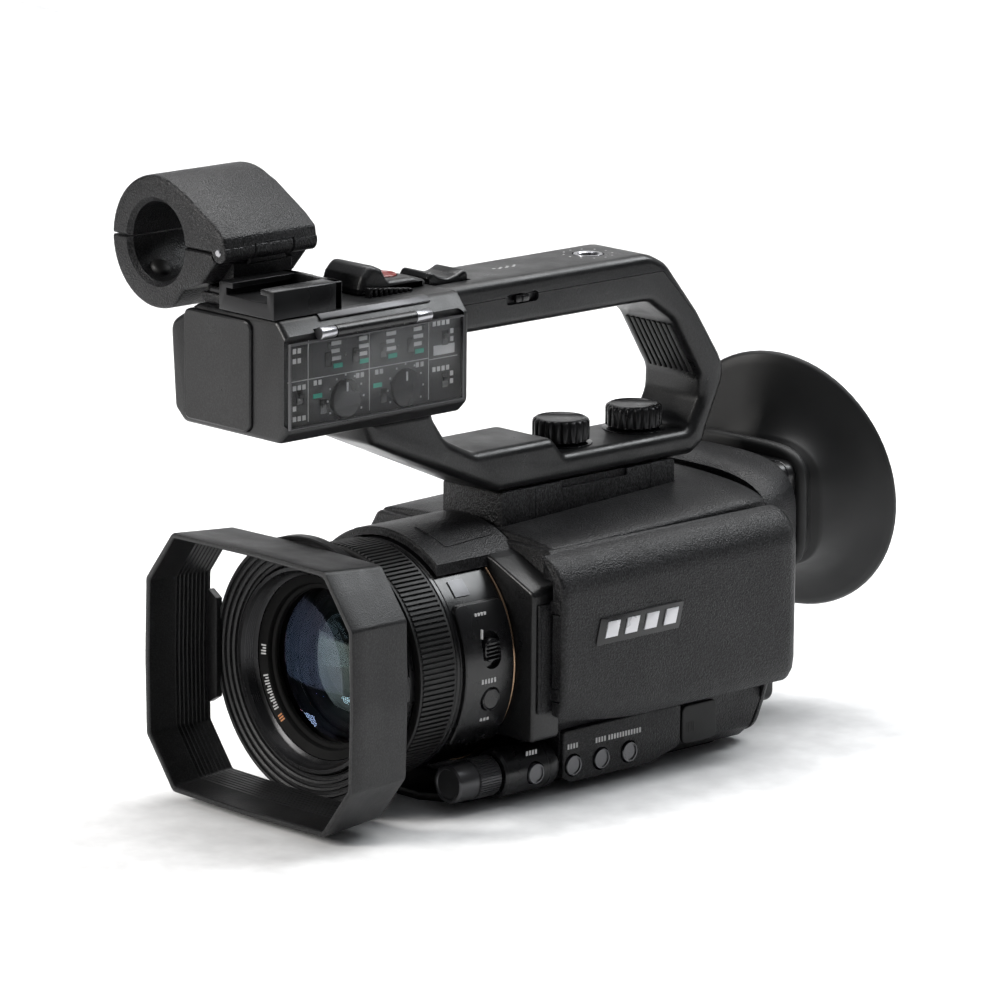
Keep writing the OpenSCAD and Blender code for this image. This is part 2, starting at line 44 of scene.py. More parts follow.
# Places used by more than one piece, in millimetres about the lens axis.
SLIDER, MODE_KEY = (67.6, 6.8), (67.5, -9)                  # y, z on the barrel's side
KEY_Y, KEY_Z, MENU_KEY = (101.5, 113.9, 126.3), -36, (84.8, -35.6)
DIAL_AXIS, RECORD_KEY, EYE_AXIS = (33, -35.2), (-36, 6), (0, 25)        # x, z
ROCKER_PIVOT, HANDLE_KEY = (-33, 130), (0, 55)              # x, y
KNOB_Y, INSERT_Y = (133.8, 166.6), 145
JACK_Y, JACK_Z, LEVEL_Y, LEVEL_Z = (16, 46), 97, (18.6, 43.1), 91.4
LID_HINGE = (26.2, 113.3)                                   # x, z
MIC_X, MIC_Z, PIN_X, PIN_Z = -33.2, 134.7, -4.2, 135.3      # the microphone's axis and its hinge pin


# ---- flat outlines, in millimetres ---------------------------------------------------
class Outline(list):
    """Points of a rounded outline that still knows the sharp corners it came from."""
    sharp, seg = None, 5


def turning(pts):
    """Twice the outline's area, positive when it runs anticlockwise."""
    return sum(pts[i - 1][0] * p[1] - p[0] * pts[i - 1][1] for i, p in enumerate(pts))


def ccw(pts):
    """The same outline, run anticlockwise."""
    if turning(pts) > 0:
        return pts
    return rounded(pts.sharp[::-1], 0, pts.seg) if getattr(pts, "sharp", None) else list(pts)[::-1]


def rounded(points, r=1.0, seg=5):
    """The outline with its corners turned into arcs. A point's third number is its own radius."""
    out, n = Outline(), len(points)
    out.sharp, out.seg = [(p[0], p[1], p[2] if len(p) > 2 else r) for p in points], seg
    for i, p in enumerate(points):
        rad = p[2] if len(p) > 2 else r
        b = Vector(p[:2])
        u, w = Vector(points[i - 1][:2]) - b, Vector(points[(i + 1) % n][:2]) - b
        lu, lw = u.length, w.length
        u.normalize()
        w.normalize()
        ang = acos(max(-1.0, min(1.0, u.dot(w))))
        if rad <= 0 or ang > pi - 0.01:
            out.append((b.x, b.y))
            continue
        t = min(rad / tan(ang / 2), 0.48 * lu, 0.48 * lw)
        rr = t * tan(ang / 2)
        c = b + (u + w).normalized() * (rr / sin(ang / 2))
        p0, p1 = b + u * t - c, b + w * t - c
        a0 = atan2(p0.y, p0.x)
        d = (atan2(p1.y, p1.x) - a0 + pi) % (2 * pi) - pi
        out += [(c.x + rr * cos(a0 + d * k / seg), c.y + rr * sin(a0 + d * k / seg))
              for k in range(seg + 1)]
    return out


def rect(x0, x1, y0, y1, r=1.0, seg=5):
    return rounded([(x0, y0), (x1, y0), (x1, y1), (x0, y1)], r, seg)


def disc(cx, cy, r, n=48):
    return [(cx + r * cos(2 * pi * k / n), cy + r * sin(2 * pi * k / n)) for k in range(n)]


def arc(cx, cy, r, angles):
    return [(cx + r * cos(radians(a)), cy + r * sin(radians(a))) for a in angles]


def inset(pts, s):
    """The outline moved in by s, with its corner radii changed to suit."""
    sharp = getattr(pts, "sharp", None)
    src = sharp or [(p[0], p[1], 0) for p in pts]
    side, out, n = (1 if turning(src) > 0 else -1), [], len(src)
    for i, p in enumerate(src):
        u = (Vector(p[:2]) - Vector(src[i - 1][:2])).normalized()
        w = (Vector(src[(i + 1) % n][:2]) - Vector(p[:2])).normalized()
        m = Vector((-u.y - w.y, u.x + w.x)) / max(0.2, 1 + u.dot(w))
        hollow = (u.x * w.y - u.y * w.x) * side < 0
        rad = 0 if p[2] <= 0 else (p[2] + s if hollow else max(0.02, p[2] - s))
        out.append((p[0] + m.x * s * side, p[1] + m.y * s * side, rad))
    return rounded(out, 0, pts.seg) if sharp else [(x, y) for x, y, _ in out]


# ---- solids --------------------------------------------------------------------------
class Shape:
    """Closed solids in millimetres about the lens axis, Y = 0 at the hood's front edge."""

    def __init__(self):
        self.v, self.f, self.m, self.slot = [], [], [], 0

    def add(self, verts, faces):
        base = len(self.v)
        self.v += [tuple(p) for p in verts]
        self.f += [tuple(base + i for i in f) for f in faces]
        self.m += [self.slot] * len(faces)
        return self

    def ink(self, slot):
        self.slot = slot
        return self

    def skin(self, loops, wrap=False):
        """Equal loops skinned one after another, with caps, or joined round into a tube."""
        n, k = len(loops[0]), len(loops)
        faces = []
        for i in range(k if wrap else k - 1):
            a, b = i * n, ((i + 1) % k) * n
            faces += [(a + j, a + (j + 1) % n, b + (j + 1) % n, b + j) for j in range(n)]
        if not wrap:
            faces += [tuple(range(n - 1, -1, -1)), tuple((k - 1) * n + j for j in range(n))]
        return self.add([p for loop in loops for p in loop], faces)

    def prism(self, pts, axis, a, b, r=0.4, seg=2, r2=None):
        """The outline drawn out along an axis, its end edges rounded to r (r2 at the far end)."""
        pts, loops = ccw(pts), []
        r2 = r if r2 is None else r2
        if r > 0:
            for k in range(seg + 1):
                t = pi / 2 * (1 - k / seg)
                loops.append((a + r * (1 - sin(t)), r * (1 - cos(t))))
        else:
            loops.append((a, 0))
        if r2 > 0:
            for k in range(seg + 1):
                t = pi / 2 * k / seg
                loops.append((b - r2 * (1 - sin(t)), r2 * (1 - cos(t))))
        else:
            loops.append((b, 0))
        place = {"x": lambda p, d: (d, p[0], p[1]), "y": lambda p, d: (p[0], d, p[1]), "z": lambda p,
              d: (p[0], p[1], d)}[axis]
        return self.skin([[place(p, d) for p in (inset(pts, s) if s else pts)] for d, s in loops])

    def box(self, x0, x1, y0, y1, z0, z1, r=0.4, seg=2):
        r = min(r, (x1 - x0) * 0.45, (y1 - y0) * 0.45, (z1 - z0) * 0.45)
        return self.prism(rect(x0, x1, y0, y1, r * 1.05, seg + 1), "z", z0, z1, r, seg)

    def lathe(self, profile, centre=(0, 0), axis="y", n=96, sweep=None):
        """Turns the closed profile of (radius, along) about a line through centre."""
        a0, a1 = sweep if sweep else (0, 360)
        steps = n if sweep is None else n + 1
        loops = []
        for k in range(steps):
            a = radians(a0 + (a1 - a0) * k / n)
            c, s = cos(a), sin(a)
            if axis == "y":
                loops.append([(centre[0] + r * c, t, centre[1] + r * s) for r, t in profile])
            elif axis == "x":
                loops.append([(t, centre[0] + r * c, centre[1] + r * s) for r, t in profile])
            else:
                loops.append([(centre[0] + r * c, centre[1] + r * s, t) for r, t in profile])
        return self.skin(loops, wrap=sweep is None)

    def rod(self, r, a, b, centre=(0, 0), axis="y", n=96):
        return self.lathe([(0, a), (r, a), (r, b), (0, b)], centre, axis, n)

    def gear(self, stations, teeth, centre=(0, 0), axis="y", duty=0.5, wrap=True):
        """Ribbed ring: stations are (along, low radius, high radius)."""
        loops = []
        for t, lo, hi in stations:
            loop = []
            for k in range(teeth):
                for part, r in ((0.0, lo), (0.12, hi), (0.12 + duty, hi), (0.24 + duty, lo)):
                    a = 2 * pi * (k + part) / teeth
                    c, s = r * cos(a), r * sin(a)
                    loop.append({"y": (centre[0] + c, t, centre[1] + s), "x": (t, centre[0] + c, centre[1]
                          + s), "z": (centre[0] + c, centre[1] + s, t)}[axis])
            loops.append(loop)
        return self.skin(loops, wrap=wrap)


def raw_object(name, shape):
    """The shape as a closed mesh in the part's frame, in metres."""
    bm = bmesh.new()
    vs = [bm.verts.new(((p[0]) / 1000, (p[1] - SOCKET_Y) / 1000, (p[2] + AXIS_Z) / 1000)) for p in shape.v]
    for f, m in zip(shape.f, shape.m):
        ids = [vs[i] for i in f]
        try:
            face = bm.faces.new(ids)
            face.material_index = m
        except ValueError:
            pass
    bmesh.ops.remove_doubles(bm, verts=bm.verts, dist=1.5e-6)
    bmesh.ops.dissolve_degenerate(bm, edges=bm.edges, dist=1e-6)
    bmesh.ops.delete(bm, geom=[e for e in bm.edges if not e.link_faces], context="EDGES")
    bmesh.ops.recalc_face_normals(bm, faces=bm.faces)
    mesh = bpy.data.meshes.new(name)
    bm.to_mesh(mesh)
    bm.free()
    obj = bpy.data.objects.new(name, mesh)
    bpy.context.scene.collection.objects.link(obj)
    return obj


def boolean(obj, shape, operation, solver="EXACT"):
    """Cuts or clips the mesh itself. Lofted skins need the MANIFOLD solver."""
    tool = raw_object("tool", shape)
    mod = obj.modifiers.new("b", "BOOLEAN")
    mod.operation, mod.solver, mod.object = operation, solver, tool
    bpy.context.view_layer.update()
    mesh = bpy.data.meshes.new_from_object(obj.evaluated_get(bpy.context.evaluated_depsgraph_get()))
    obj.modifiers.clear()
    old, obj.data = obj.data, mesh
    bpy.data.meshes.remove(old)
    bpy.data.objects.remove(tool)


def crease(mesh, angle, flags=True):
    """Smooth faces, with the edges sharper than the angle kept hard where flags is set."""
    bm = bmesh.new()
    bm.from_mesh(mesh)
    for e in bm.edges:
        e.smooth = not flags or (len(e.link_faces) == 2 and e.calc_face_angle(0) < radians(angle))
    for f in bm.faces:
        f.smooth = True
    bm.to_mesh(mesh)
    bm.free()


def piece(name, shape, mats, nodes=(), body=MAIN, cuts=(), clips=(), bevel=0.0, seg=2, angle=34.0,
          slot=None, solver="EXACT"):
    """One visible piece, cut to shape, finished, and riding on its body in place of its CAD nodes."""
    obj = raw_object(name, shape)
    for c in clips:
        boolean(obj, c, "INTERSECT", solver)
    for c in cuts:
        boolean(obj, c, "DIFFERENCE", solver)
    mats = mats if isinstance(mats, (list, tuple)) else [mats]
    obj.data.name = name
    tints = [min(p.material_index, len(mats) - 1) for p in obj.data.polygons]
    obj.data.materials.clear()
    for m in mats:
        obj.data.materials.append(m)
    obj.data.polygons.foreach_set("material_index", tints)
    crease(obj.data, angle, flags=bevel <= 0)
    if bevel > 0:
        mod = obj.modifiers.new("edge", "BEVEL")
        mod.width, mod.segments, mod.limit_method = bevel / 1000, seg, "ANGLE"
        mod.angle_limit = radians(angle)
        mod.harden_normals = True
    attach(obj, body)
    if nodes:
        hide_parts(*nodes)
        slot = slot or SLOTS[mats[0].name]
    return obj


# ---- finishes ------------------------------------------------------------------------
def finish(name, colour, rough=0.45, metal=0.0, grain=0.0, cell=0.7, fine=0.25, fine_cell=0.18, edge_wear_and_highlight=0.35,
           vary=0.08, spec=0.5, coat=0.0, glass=0.0, film=0.0, weave=0.0, edge=0.4, ior=1.5, depth=0.12,
           speckle=0.0):
    """A surface with two sizes of relief, uneven gloss and colour, and edges painted lighter, partly as edge
    wear and partly as a painted edge highlight, in mm.
    """
    material = bpy.data.materials.new(name)
    material.use_nodes = True
    nt = material.node_tree
    nt.nodes.clear()

    def put(socket, value):
        if isinstance(value, bpy.types.NodeSocket):
            nt.links.new(value, socket)
        else:
            socket.default_value = value

    def node(kind, **sockets):
        """A leading underscore sets a property, and two underscores stand for a space."""
        n = nt.nodes.new("ShaderNode" + kind)
        for k, v in sockets.items():
            if k.startswith("_"):
                setattr(n, k[1:], v)
            else:
                put(n.inputs[k.replace("__", " ")], v)
        return n

    def calc(operation, *values):
        n = node("Math", _operation=operation)
        for socket, value in zip(n.inputs, values):
            put(socket, value)
        return n.outputs[0]

    def remap(value, low, high, to_low, to_high):
        return node("MapRange", Value=value, From__Min=low, From__Max=high, To__Min=to_low,
              To__Max=to_high).outputs[0]

    def blend(factor, a, b):
        n = node("Mix", _data_type="RGBA")
        for i, value in ((0, factor), (6, a), (7, b)):
            put(n.inputs[i], value)
        return n.outputs[2]

    coords = node("TexCoord").outputs["Object"]

    def noise(scale, detail, roughness):
        return node("TexNoise", Vector=coords, Scale=scale, Detail=detail,
              Roughness=roughness).outputs["Fac"]

    slow = noise(70.0, 3.0, 0.55)
    height = calc("MULTIPLY", noise(1000.0 / fine_cell / 2, 3.0, 0.6), fine)
    if grain > 0:
        cells = node("TexVoronoi", _feature="SMOOTH_F1", Vector=coords, Scale=1000.0 / cell,
              Smoothness=0.35)
        uneven = noise(1000.0 / cell * 0.8, 2.0, 0.6)
        height = calc("MULTIPLY_ADD", calc("ADD", cells.outputs["Distance"], uneven), grain, height)
    if weave > 0:
        for axis in ("X", "Z"):
            wave = node("TexWave", _bands_direction=axis, Vector=coords, Scale=1000.0 / weave / 6.28,
                  Distortion=0.6, Detail=1.0)
            height = calc("MULTIPLY_ADD", wave.outputs["Fac"], 0.8, height)
    bump = node("Bump", Strength=0.6, Distance=depth / 1000, Height=height)

    # Edge mask: edges are painted lighter, partly as edge wear and partly as a painted highlight along the
    # edges.
    rounded_normal = node("Bevel", Radius=edge / 1000, _samples=3)
    same = node("VectorMath", _operation="DOT_PRODUCT")
    put(same.inputs[0], rounded_normal.outputs[0])
    put(same.inputs[1], node("NewGeometry").outputs["Normal"])
    edge_wear_and_highlight_mask = calc("MULTIPLY", remap(same.outputs["Value"], 0.995, 0.86, 0.0, edge_wear_and_highlight), slow)
    c = Vector(colour)
    if speckle:
        bright = c * (1 + speckle) + Vector((1, 1, 1)) * 0.004 * speckle
        tone = blend(remap(uneven, 0.42, 0.68, 0.0, 1.0), (*(c * 0.6), 1), (*bright, 1))
    else:
        tone = blend(slow, (*(c * 0.8), 1), (*(c * 1.25), 1))
    # The lighter edge colour is edge wear and a painted edge highlight in one.
    worn_and_highlit_colour = blend(edge_wear_and_highlight_mask, tone, (*(c * 2.0 + Vector((0.06, 0.06, 0.065))), 1))
    gloss = rough if glass else remap(slow, 0.3, 0.7, max(0.02, rough - vary), rough + vary)
    bsdf = node("BsdfPrincipled", Normal=bump.outputs[0], Base__Color=worn_and_highlit_colour, Roughness=gloss,
          Metallic=metal, IOR=ior, Specular__IOR__Level=spec, Coat__Weight=coat, Coat__Roughness=0.12,
          Transmission__Weight=glass)
    if film:
        put(bsdf.inputs["Thin Film Thickness"], film)
        put(bsdf.inputs["Thin Film IOR"], 1.38)
    node("OutputMaterial", Surface=bsdf.outputs[0])
    return material


GRAIN = finish("grained_black_plastic", (0.0045, 0.0045, 0.005), rough=0.36, grain=1.0, cell=0.5,
      depth=0.26, edge_wear_and_highlight=0.5, spec=0.26, speckle=2.4)
COARSE = finish("coarse_grain_plastic", (0.007, 0.007, 0.0075), rough=0.42, grain=1.0, cell=0.62,
      depth=0.4, edge_wear_and_highlight=0.5, spec=0.32, speckle=3.0)
SMOOTH = finish("smooth_black_plastic", (0.006, 0.006, 0.0065), rough=0.34, grain=0.4, cell=0.42,
      depth=0.1, edge_wear_and_highlight=0.5, spec=0.4, speckle=0.8)
SATIN = finish("satin_black_plastic", (0.005, 0.005, 0.0055), rough=0.27, fine=0.3, depth=0.05, edge_wear_and_highlight=0.5,
      spec=0.45)
MATTE = finish("matte_hood_plastic", (0.007, 0.007, 0.0075), rough=0.42, grain=0.5, cell=0.45, depth=0.14,
      edge_wear_and_highlight=0.6, spec=0.4, speckle=1.0)
FLOCK = finish("dead_black_lining", (0.002, 0.002, 0.002), rough=0.7, fine=1.0, spec=0.15, edge_wear_and_highlight=0.0)
GLOSS = finish("gloss_black_plastic", (0.004, 0.004, 0.0045), rough=0.14, fine=0.1, depth=0.03, edge_wear_and_highlight=0.2)
METAL = finish("black_anodised_metal", (0.02, 0.02, 0.021), rough=0.3, metal=0.7, fine=0.4, edge_wear_and_highlight=0.8,
      depth=0.06)
RUBBER = finish("black_rubber", (0.006, 0.006, 0.006), rough=0.5, fine=0.8, spec=0.4, edge_wear_and_highlight=0.25, depth=0.1)
SOFT = finish("soft_black_rubber", (0.008, 0.008, 0.0082), rough=0.5, fine=0.6, spec=0.35, edge_wear_and_highlight=0.1,
      vary=0.05, depth=0.08)
CLOTH = finish("black_webbing", (0.007, 0.007, 0.0075), rough=0.8, weave=1.1, fine=0.6, spec=0.3, edge_wear_and_highlight=0.1,
      depth=0.25)
BRIGHT = finish("bright_badge", (0.6, 0.6, 0.62), rough=0.3, metal=0.35, fine=0.3, edge_wear_and_highlight=0.1, depth=0.04)
STEEL = finish("bright_steel", (0.42, 0.42, 0.44), rough=0.28, metal=1.0, fine=0.3, edge_wear_and_highlight=0.1, depth=0.04)
SPUN = finish("spun_dark_metal", (0.13, 0.13, 0.135), rough=0.28, metal=1.0, fine=0.3, edge_wear_and_highlight=0.4, depth=0.04)
GREY = finish("dark_grey_metal", (0.075, 0.075, 0.078), rough=0.36, metal=0.8, fine=0.4, edge_wear_and_highlight=0.5,
      depth=0.05)
BRONZE = finish("bronze_band", (0.3, 0.2, 0.13), rough=0.24, metal=1.0, fine=0.2, edge_wear_and_highlight=0.2, depth=0.03)
PRINT = finish("pale_print", (0.5, 0.5, 0.5), rough=0.5, fine=0.2, edge_wear_and_highlight=0.0, depth=0.03)
GREEN = finish("green_print", (0.03, 0.33, 0.24), rough=0.5, fine=0.2, edge_wear_and_highlight=0.0, depth=0.03)
AMBER = finish("amber_print", (0.5, 0.17, 0.03), rough=0.5, fine=0.2, edge_wear_and_highlight=0.0, depth=0.03)
RED = finish("red_button_plastic", (0.2, 0.012, 0.008), rough=0.3, fine=0.2, edge_wear_and_highlight=0.2, depth=0.04)
CLEAR = finish("clear_cover_plastic", (0.93, 0.94, 0.95), rough=0.02, glass=1.0, fine=0.05, edge_wear_and_highlight=0.0,
      ior=1.25, depth=0.01)
GLASS = finish("coated_front_glass", (0.9, 0.86, 0.95), rough=0.0, glass=1.0, fine=0.02, fine_cell=9,
      edge_wear_and_highlight=0.0, film=210.0, depth=0.01, spec=0.35)
GLASS2 = finish("coated_inner_glass", (0.7, 0.86, 0.78), rough=0.0, glass=1.0, fine=0.02, fine_cell=9,
      edge_wear_and_highlight=0.0, film=290.0, depth=0.01, spec=0.35)
SCREEN = finish("display_glass", (0.004, 0.004, 0.005), rough=0.08, fine=0.05, edge_wear_and_highlight=0.0, coat=0.6,
      depth=0.01)
BOARD = finish("circuit_board", (0.01, 0.08, 0.03), rough=0.35, fine=0.4)

SLOTS = {m.name: slot for slot, group in {
    "grained_black": (GRAIN, COARSE),
    "smooth_black": (SMOOTH, SATIN, MATTE, FLOCK),
    "black_metal": (METAL, GREY),
    "rubber_black": (RUBBER, SOFT),
    "webbing_black": (CLOTH,),
    "steel": (STEEL,),
    "bronze_metal": (BRONZE,),
    "spun_button": (SPUN,),
    "clear_plastic": (CLEAR,),
    "coated_glass": (GLASS, GLASS2),
    "red_plastic": (RED,),
    "screen_glass": (SCREEN,),
}.items() for m in group}


# ---- lens hood -----------------------------------------------------------------------
def hood_loop(y, w):
    """The hood's eight-sided section at Y, moved in by w."""
    t = y / 24.4
    hw, hh, bow = 48 - 1.6 * t - w, 41.8 - 1.8 * t - w, 0.6
    cx, cz = 12.7 - t - w * 0.6, 16.5 - 1.3 * t - w * 0.6
    right = [(hw - cx, -hh), (hw, cz - hh), (hw + bow, 0, 80), (hw, hh - cz), (hw - cx, hh),
          (0, hh + bow, 80)]
    pts = rounded(right + [(-p[0], -p[1], *p[2:]) for p in right], 2.6 - w * 0.5, 4)
    return [(x, y, z) for x, z in pts]


hood = Shape()
grooves = [(23.4 - 1.6 * (k // 2) - 0.35 * (k % 2), 1.85 if k % 2 else 2.0) for k in range(18)]
hood.skin([hood_loop(y, w) for y, w in [(0.0, 0.8), (0.15, 0.25), (0.7, 0.0), (6, 0), (12, 0), (18, 0),
      (23.8, 0.0), (24.4, 0.5)] + [(24.4, 1.4), (24.0, 1.9)] + grooves
      + [(2.2, 1.9), (0.5, 1.8), (0.1, 1.5), (0.0, 1.2)]], wrap=True)
steps = []
for k in range(4):
    r, y = 41.4 - 2.1 * k, 24.7 + 0.35 * k
    steps += [(r, y), (r - 0.25, y + 0.9), (r - 1.2, y + 0.9), (r - 1.45, y + 0.1)]
hood.lathe([(36.8, 28.4), (42.1, 28.4), (42.5, 28.0), (42.5, 24.9), (42.2, 24.5)] + steps
      + [(33.5, 26.2), (33.3, 26.6), (33.3, 34.0), (36.5, 34.0), (36.8, 33.7)], n=160)
for s in (-1, 1):
    hood.prism(rounded([(s * 40.4, -16), (s * 45.2, -19), (s * 45.2, 19), (s * 40.4, 16)], 0.8), "y", 22.8,
          25.4, 0.3)
    hood.box(s * 37.2 - 1.4, s * 37.2 + 1.4, 28.0, 33.0, -4, 4, 0.6)
piece("hood_shell", hood, MATTE, ["hood"], "hood_group", angle=28)

# ---- lens front ----------------------------------------------------------------------
thread = [(31.0 if k % 2 else 30.6, 26.2 + 0.38 * k) for k in range(11)]
piece("filter_thread_ring", Shape().lathe([(33.0, 37.6), (33.0, 25.6), (32.6, 25.2), (31.5, 25.2),
      (31.1, 25.7)] + thread + [(29.5, 30.5), (29.5, 37.6)], n=160), METAL, ["filter_ring"], angle=25)

names = Shape().lathe([(29.3, 30.8), (28.9, 31.0), (26.6, 32.0), (26.3, 32.4), (26.0, 33.4), (24.9, 33.6),
      (24.6, 34.0), (24.6, 35.3), (29.3, 35.3)], n=160).ink(1)


def cone_mark(shape, a, r0, r1, wide):
    """A thin printed bar lying on the sloping ring, at angle a in degrees."""
    loops = []
    for r in (r0, r1):
        y = 31.0 + 1.6 * (28.9 - r) / 3.9
        half = degrees(wide / 2 / r)
        loop = []
        for da, dy in ((-half, 0.05), (half, 0.05), (half, -0.06), (-half, -0.06)):
            q = radians(a + da)
            loop.append((r * cos(q), y + dy - 0.02, r * sin(q)))
        loops.append(loop)
    shape.skin(loops)


for first, count in ((176, 4), (196, 13), (20, 5)):
    for k in range(count):
        cone_mark(names, first + 1.9 * k, 27.0, 28.5 - 0.5 * (k % 3 == 1), 0.45)
names.ink(2)
for k in range(3):
    cone_mark(names, 224 + 1.9 * k, 27.0, 28.5, 0.5)
piece("lens_name_ring", names, [FLOCK, PRINT, AMBER], ["name_ring"], angle=25, slot="black_metal")

curve = [24.3 * k / 16 for k in range(17)]
piece("front_glass", Shape().lathe([(r, 32.2 + 62 - sqrt(62 * 62 - r * r)) for r in curve] + [(24.3, 38.5)]
      + [(r, 38.5 + 0.9 * (1 - (r / 24.3) ** 2)) for r in curve[::-1][1:]], n=128), GLASS, ["front_lens"],
      angle=30)
piece("lens_inner_tube", Shape().lathe([(29.2, 39.6), (29.2, 76), (12.5, 76), (12.5, 74.5), (14.6, 74),
      (15.2, 67), (17.6, 66.4), (18.2, 58), (20.4, 57.4), (20.8, 50), (22.8, 49.4), (23.4, 43),
      (25.2, 42.2), (25.6, 39.6)], n=128), FLOCK, ["inner_lens_tube"], angle=20)
INNER_R, INNER_Y = 20.5, 52.0
reach = [INNER_R * k / 12 for k in range(13)]
piece("second_glass", Shape().lathe([(q, INNER_Y - 3.0 * (1 - (q / INNER_R) ** 2)) for q in reach]
      + [(q, INNER_Y + 3 + 0.8 * (1 - (q / INNER_R) ** 2)) for q in reach[::-1]], n=96), GLASS2, angle=30,
      slot="coated_glass")
blades = Shape()
for k in range(7):
    a = 2 * pi * k / 7
    p = [(6.5 * cos(a + q), 6.5 * sin(a + q)) for q in (0, 0.9)] + [(17 * cos(a + q), 17 * sin(a + q))
          for q in (1.25, 0.6, -0.1)]
    blades.prism(p, "y", 71.0 + 0.12 * k, 71.1 + 0.12 * k, 0)
piece("iris_blades", blades, FLOCK)

# ---- focus ring, barrel --------------------------------------------------------------
ribs = [(38.0, 36.9, 36.9), (38.35, 37.5, 37.5), (39.2, 37.55, 37.55), (39.45, 37.15, 37.95),
      (52.4, 37.15, 37.95), (52.65, 37.55, 37.55), (53.45, 37.5, 37.5), (53.8, 36.9, 36.9),
      (53.8, 35.3, 35.3), (38.0, 35.3, 35.3)]
piece("focus_ring_rubber", Shape().gear(ribs, 140), RUBBER, ["focus_ring"], "focus_ring_group", angle=40)
piece("barrel", Shape().lathe([(33.4, 36), (35.0, 36), (35.0, 54.2), (36.9, 54.2), (37.2, 54.5),
      (37.2, 55.5), (36.95, 55.7), (36.95, 55.9), (37.2, 56.1), (37.2, 76.6), (37.0, 76.8), (37.0, 77.8),
      (33.4, 77.8)], n=180), SATIN, ["lens_barrel"], angle=25, slot="black_metal")


def stadium(cy, cz, r, h):
    """A slot with round ends, h longer than a circle of radius r each way."""
    return rect(cy - r, cy + r, cz - r - h, cz + r + h, r * 0.999, 10)


piece("barrel_side_pad", Shape().lathe([(36.6, 56.4), (38.5, 56.4), (38.9, 56.8), (38.9, 76.6),
      (38.5, 77.0), (36.6, 77.0)], n=60, sweep=(-60, 60)), SATIN, clips=[Shape().prism(rect(56.2, 77.2,
      -24, 21, 2.6), "x", 20, 46, 0)], cuts=[Shape().prism(stadium(*SLIDER, 3.75, 2.2), "x", 30, 46, 0),
      Shape().prism(disc(*MODE_KEY, 3.95), "x", 30, 46, 0)], bevel=0.35, angle=30)
marks = Shape()
for z in (12.4, 1.2):
    marks.box(37.9, 38.75, 63.1, 63.1 + 0.35, z - 1.5, z + 1.5, 0.05)
for k, (y, z) in enumerate([(63.6, 17.5), (64.9, 17.5), (66.2, 17.5), (67.5, 17.5), (63.0, -2.8),
        (64.3, -2.8), (65.6, -2.8), (66.9, -2.8), (68.2, -2.8), (65.4, -15.6), (66.8, -15.6),
        (68.2, -15.6)]):
    x = sqrt(38.96 ** 2 - z * z)
    marks.box(x - 0.5, x + 0.02, y, y + 0.8, z - 0.75, z + 0.75, 0.03)
piece("barrel_marks", marks, PRINT)
slider = Shape().prism(stadium(*SLIDER, 3.3, 0.5), "x", 35.4, 38.9, 0.5)
for k in range(5):
    slider.box(38.5, 39.9, 64.9, 70.3, 3.9 + 1.3 * k, 4.55 + 1.3 * k, 0.28)
piece("zoom_focus_slider", slider, SATIN, ["zoom_focus_switch"], "zoom_focus_switch_group")
piece("focus_mode_key", Shape().lathe([(0, 38.4), (2.9, 38.3), (3.3, 38.6), (3.6, 38.3), (3.6, 34.8),
      (0, 34.8)], MODE_KEY, "x", 48), SATIN, ["focus_mode_button"], "focus_mode_button_group")
piece("bronze_band", Shape().lathe([(33.4, 77.9), (37.5, 77.9), (37.75, 78.2), (37.75, 78.5),
      (37.5, 78.75), (33.4, 78.75)], n=180), BRONZE, ["accent_ring"], angle=50)
piece("small_plate", Shape().lathe([(37.15, 60.2), (37.6, 60.2), (37.6, 66.4), (37.15, 66.4)], n=24,
      sweep=(38, 47)), GREY)
arc_hi = [(38.0, 57.2), (39.9, 57.2), (40.5, 57.8), (40.5, 91.6), (38.0, 91.6)]
zone = Shape().prism(rounded([(-34, 22), (24.5, 27), (22, 46), (-34, 46)], 1.5), "y", 50, 95, 0)
piece("barrel_top_cover", Shape().lathe(arc_hi, n=90, sweep=(30, 150)), GRAIN, ["lens_top_cover"],
      clips=[zone], bevel=0.4)
piece("barrel_top_panel", Shape().lathe([(40.2, 57.5), (40.75, 57.5), (40.75, 91.5), (40.2, 91.5)], n=60,
      sweep=(50, 100)), GRAIN, clips=[Shape().prism(rounded([(3.5, 66), (18.5, 66), (17, 88), (3.5, 90)],
      1.5), "z", 30, 50, 0)], bevel=0.25)

# ---- body ----------------------------------------------------------------------------
front = rounded([(-46, -38), (-40, -42), (18, -42), (18.5, -24.6), (45, -24.2, 2), (45, 24.0, 2.5),
      (27, 32.0, 3), (13, 36.4, 12), (-13, 36.4, 12), (-39, 30.4, 5), (-46, 22, 4)], 2.0, 6)
roof = arc(0, 0, 40.7, range(54, 141, 3)) + [(-33.3, 25.7), (24.3, 25.7)]
piece("front_shell", Shape().prism(front, "y", 78.85, 90.2, 1.0, 3, 0.2), SMOOTH, ["front_housing"],
      angle=35, slot="grained_black", cuts=[Shape().rod(36.2, 70, 84, n=96),
      Shape().prism(roof, "y", 76, 92, 0)])
side = rounded([(0.2, -42), (34, -42, 4), (38.6, -37.6, 3), (38.6, -24.2, 0.5), (41.6, -21, 1.5),
      (41.6, 33.4, 1), (39.6, 35, 1), (0.2, 35)], 0.4, 4)
heel = Shape().prism(rounded([(80, -60), (181, -60, 2), (183, -38, 16), (190, -26, 6), (191, 50),
      (80, 50)], 1.0, 8), "x", -70, 70, 0)
piece("left_shell", Shape().prism(side, "y", 90.35, 188, 0.4, 2), GRAIN, ["left_casing"], clips=[heel],
      cuts=[Shape().box(22, 50, 88, 97, -50, -24.6, 0.2)], bevel=0.25)
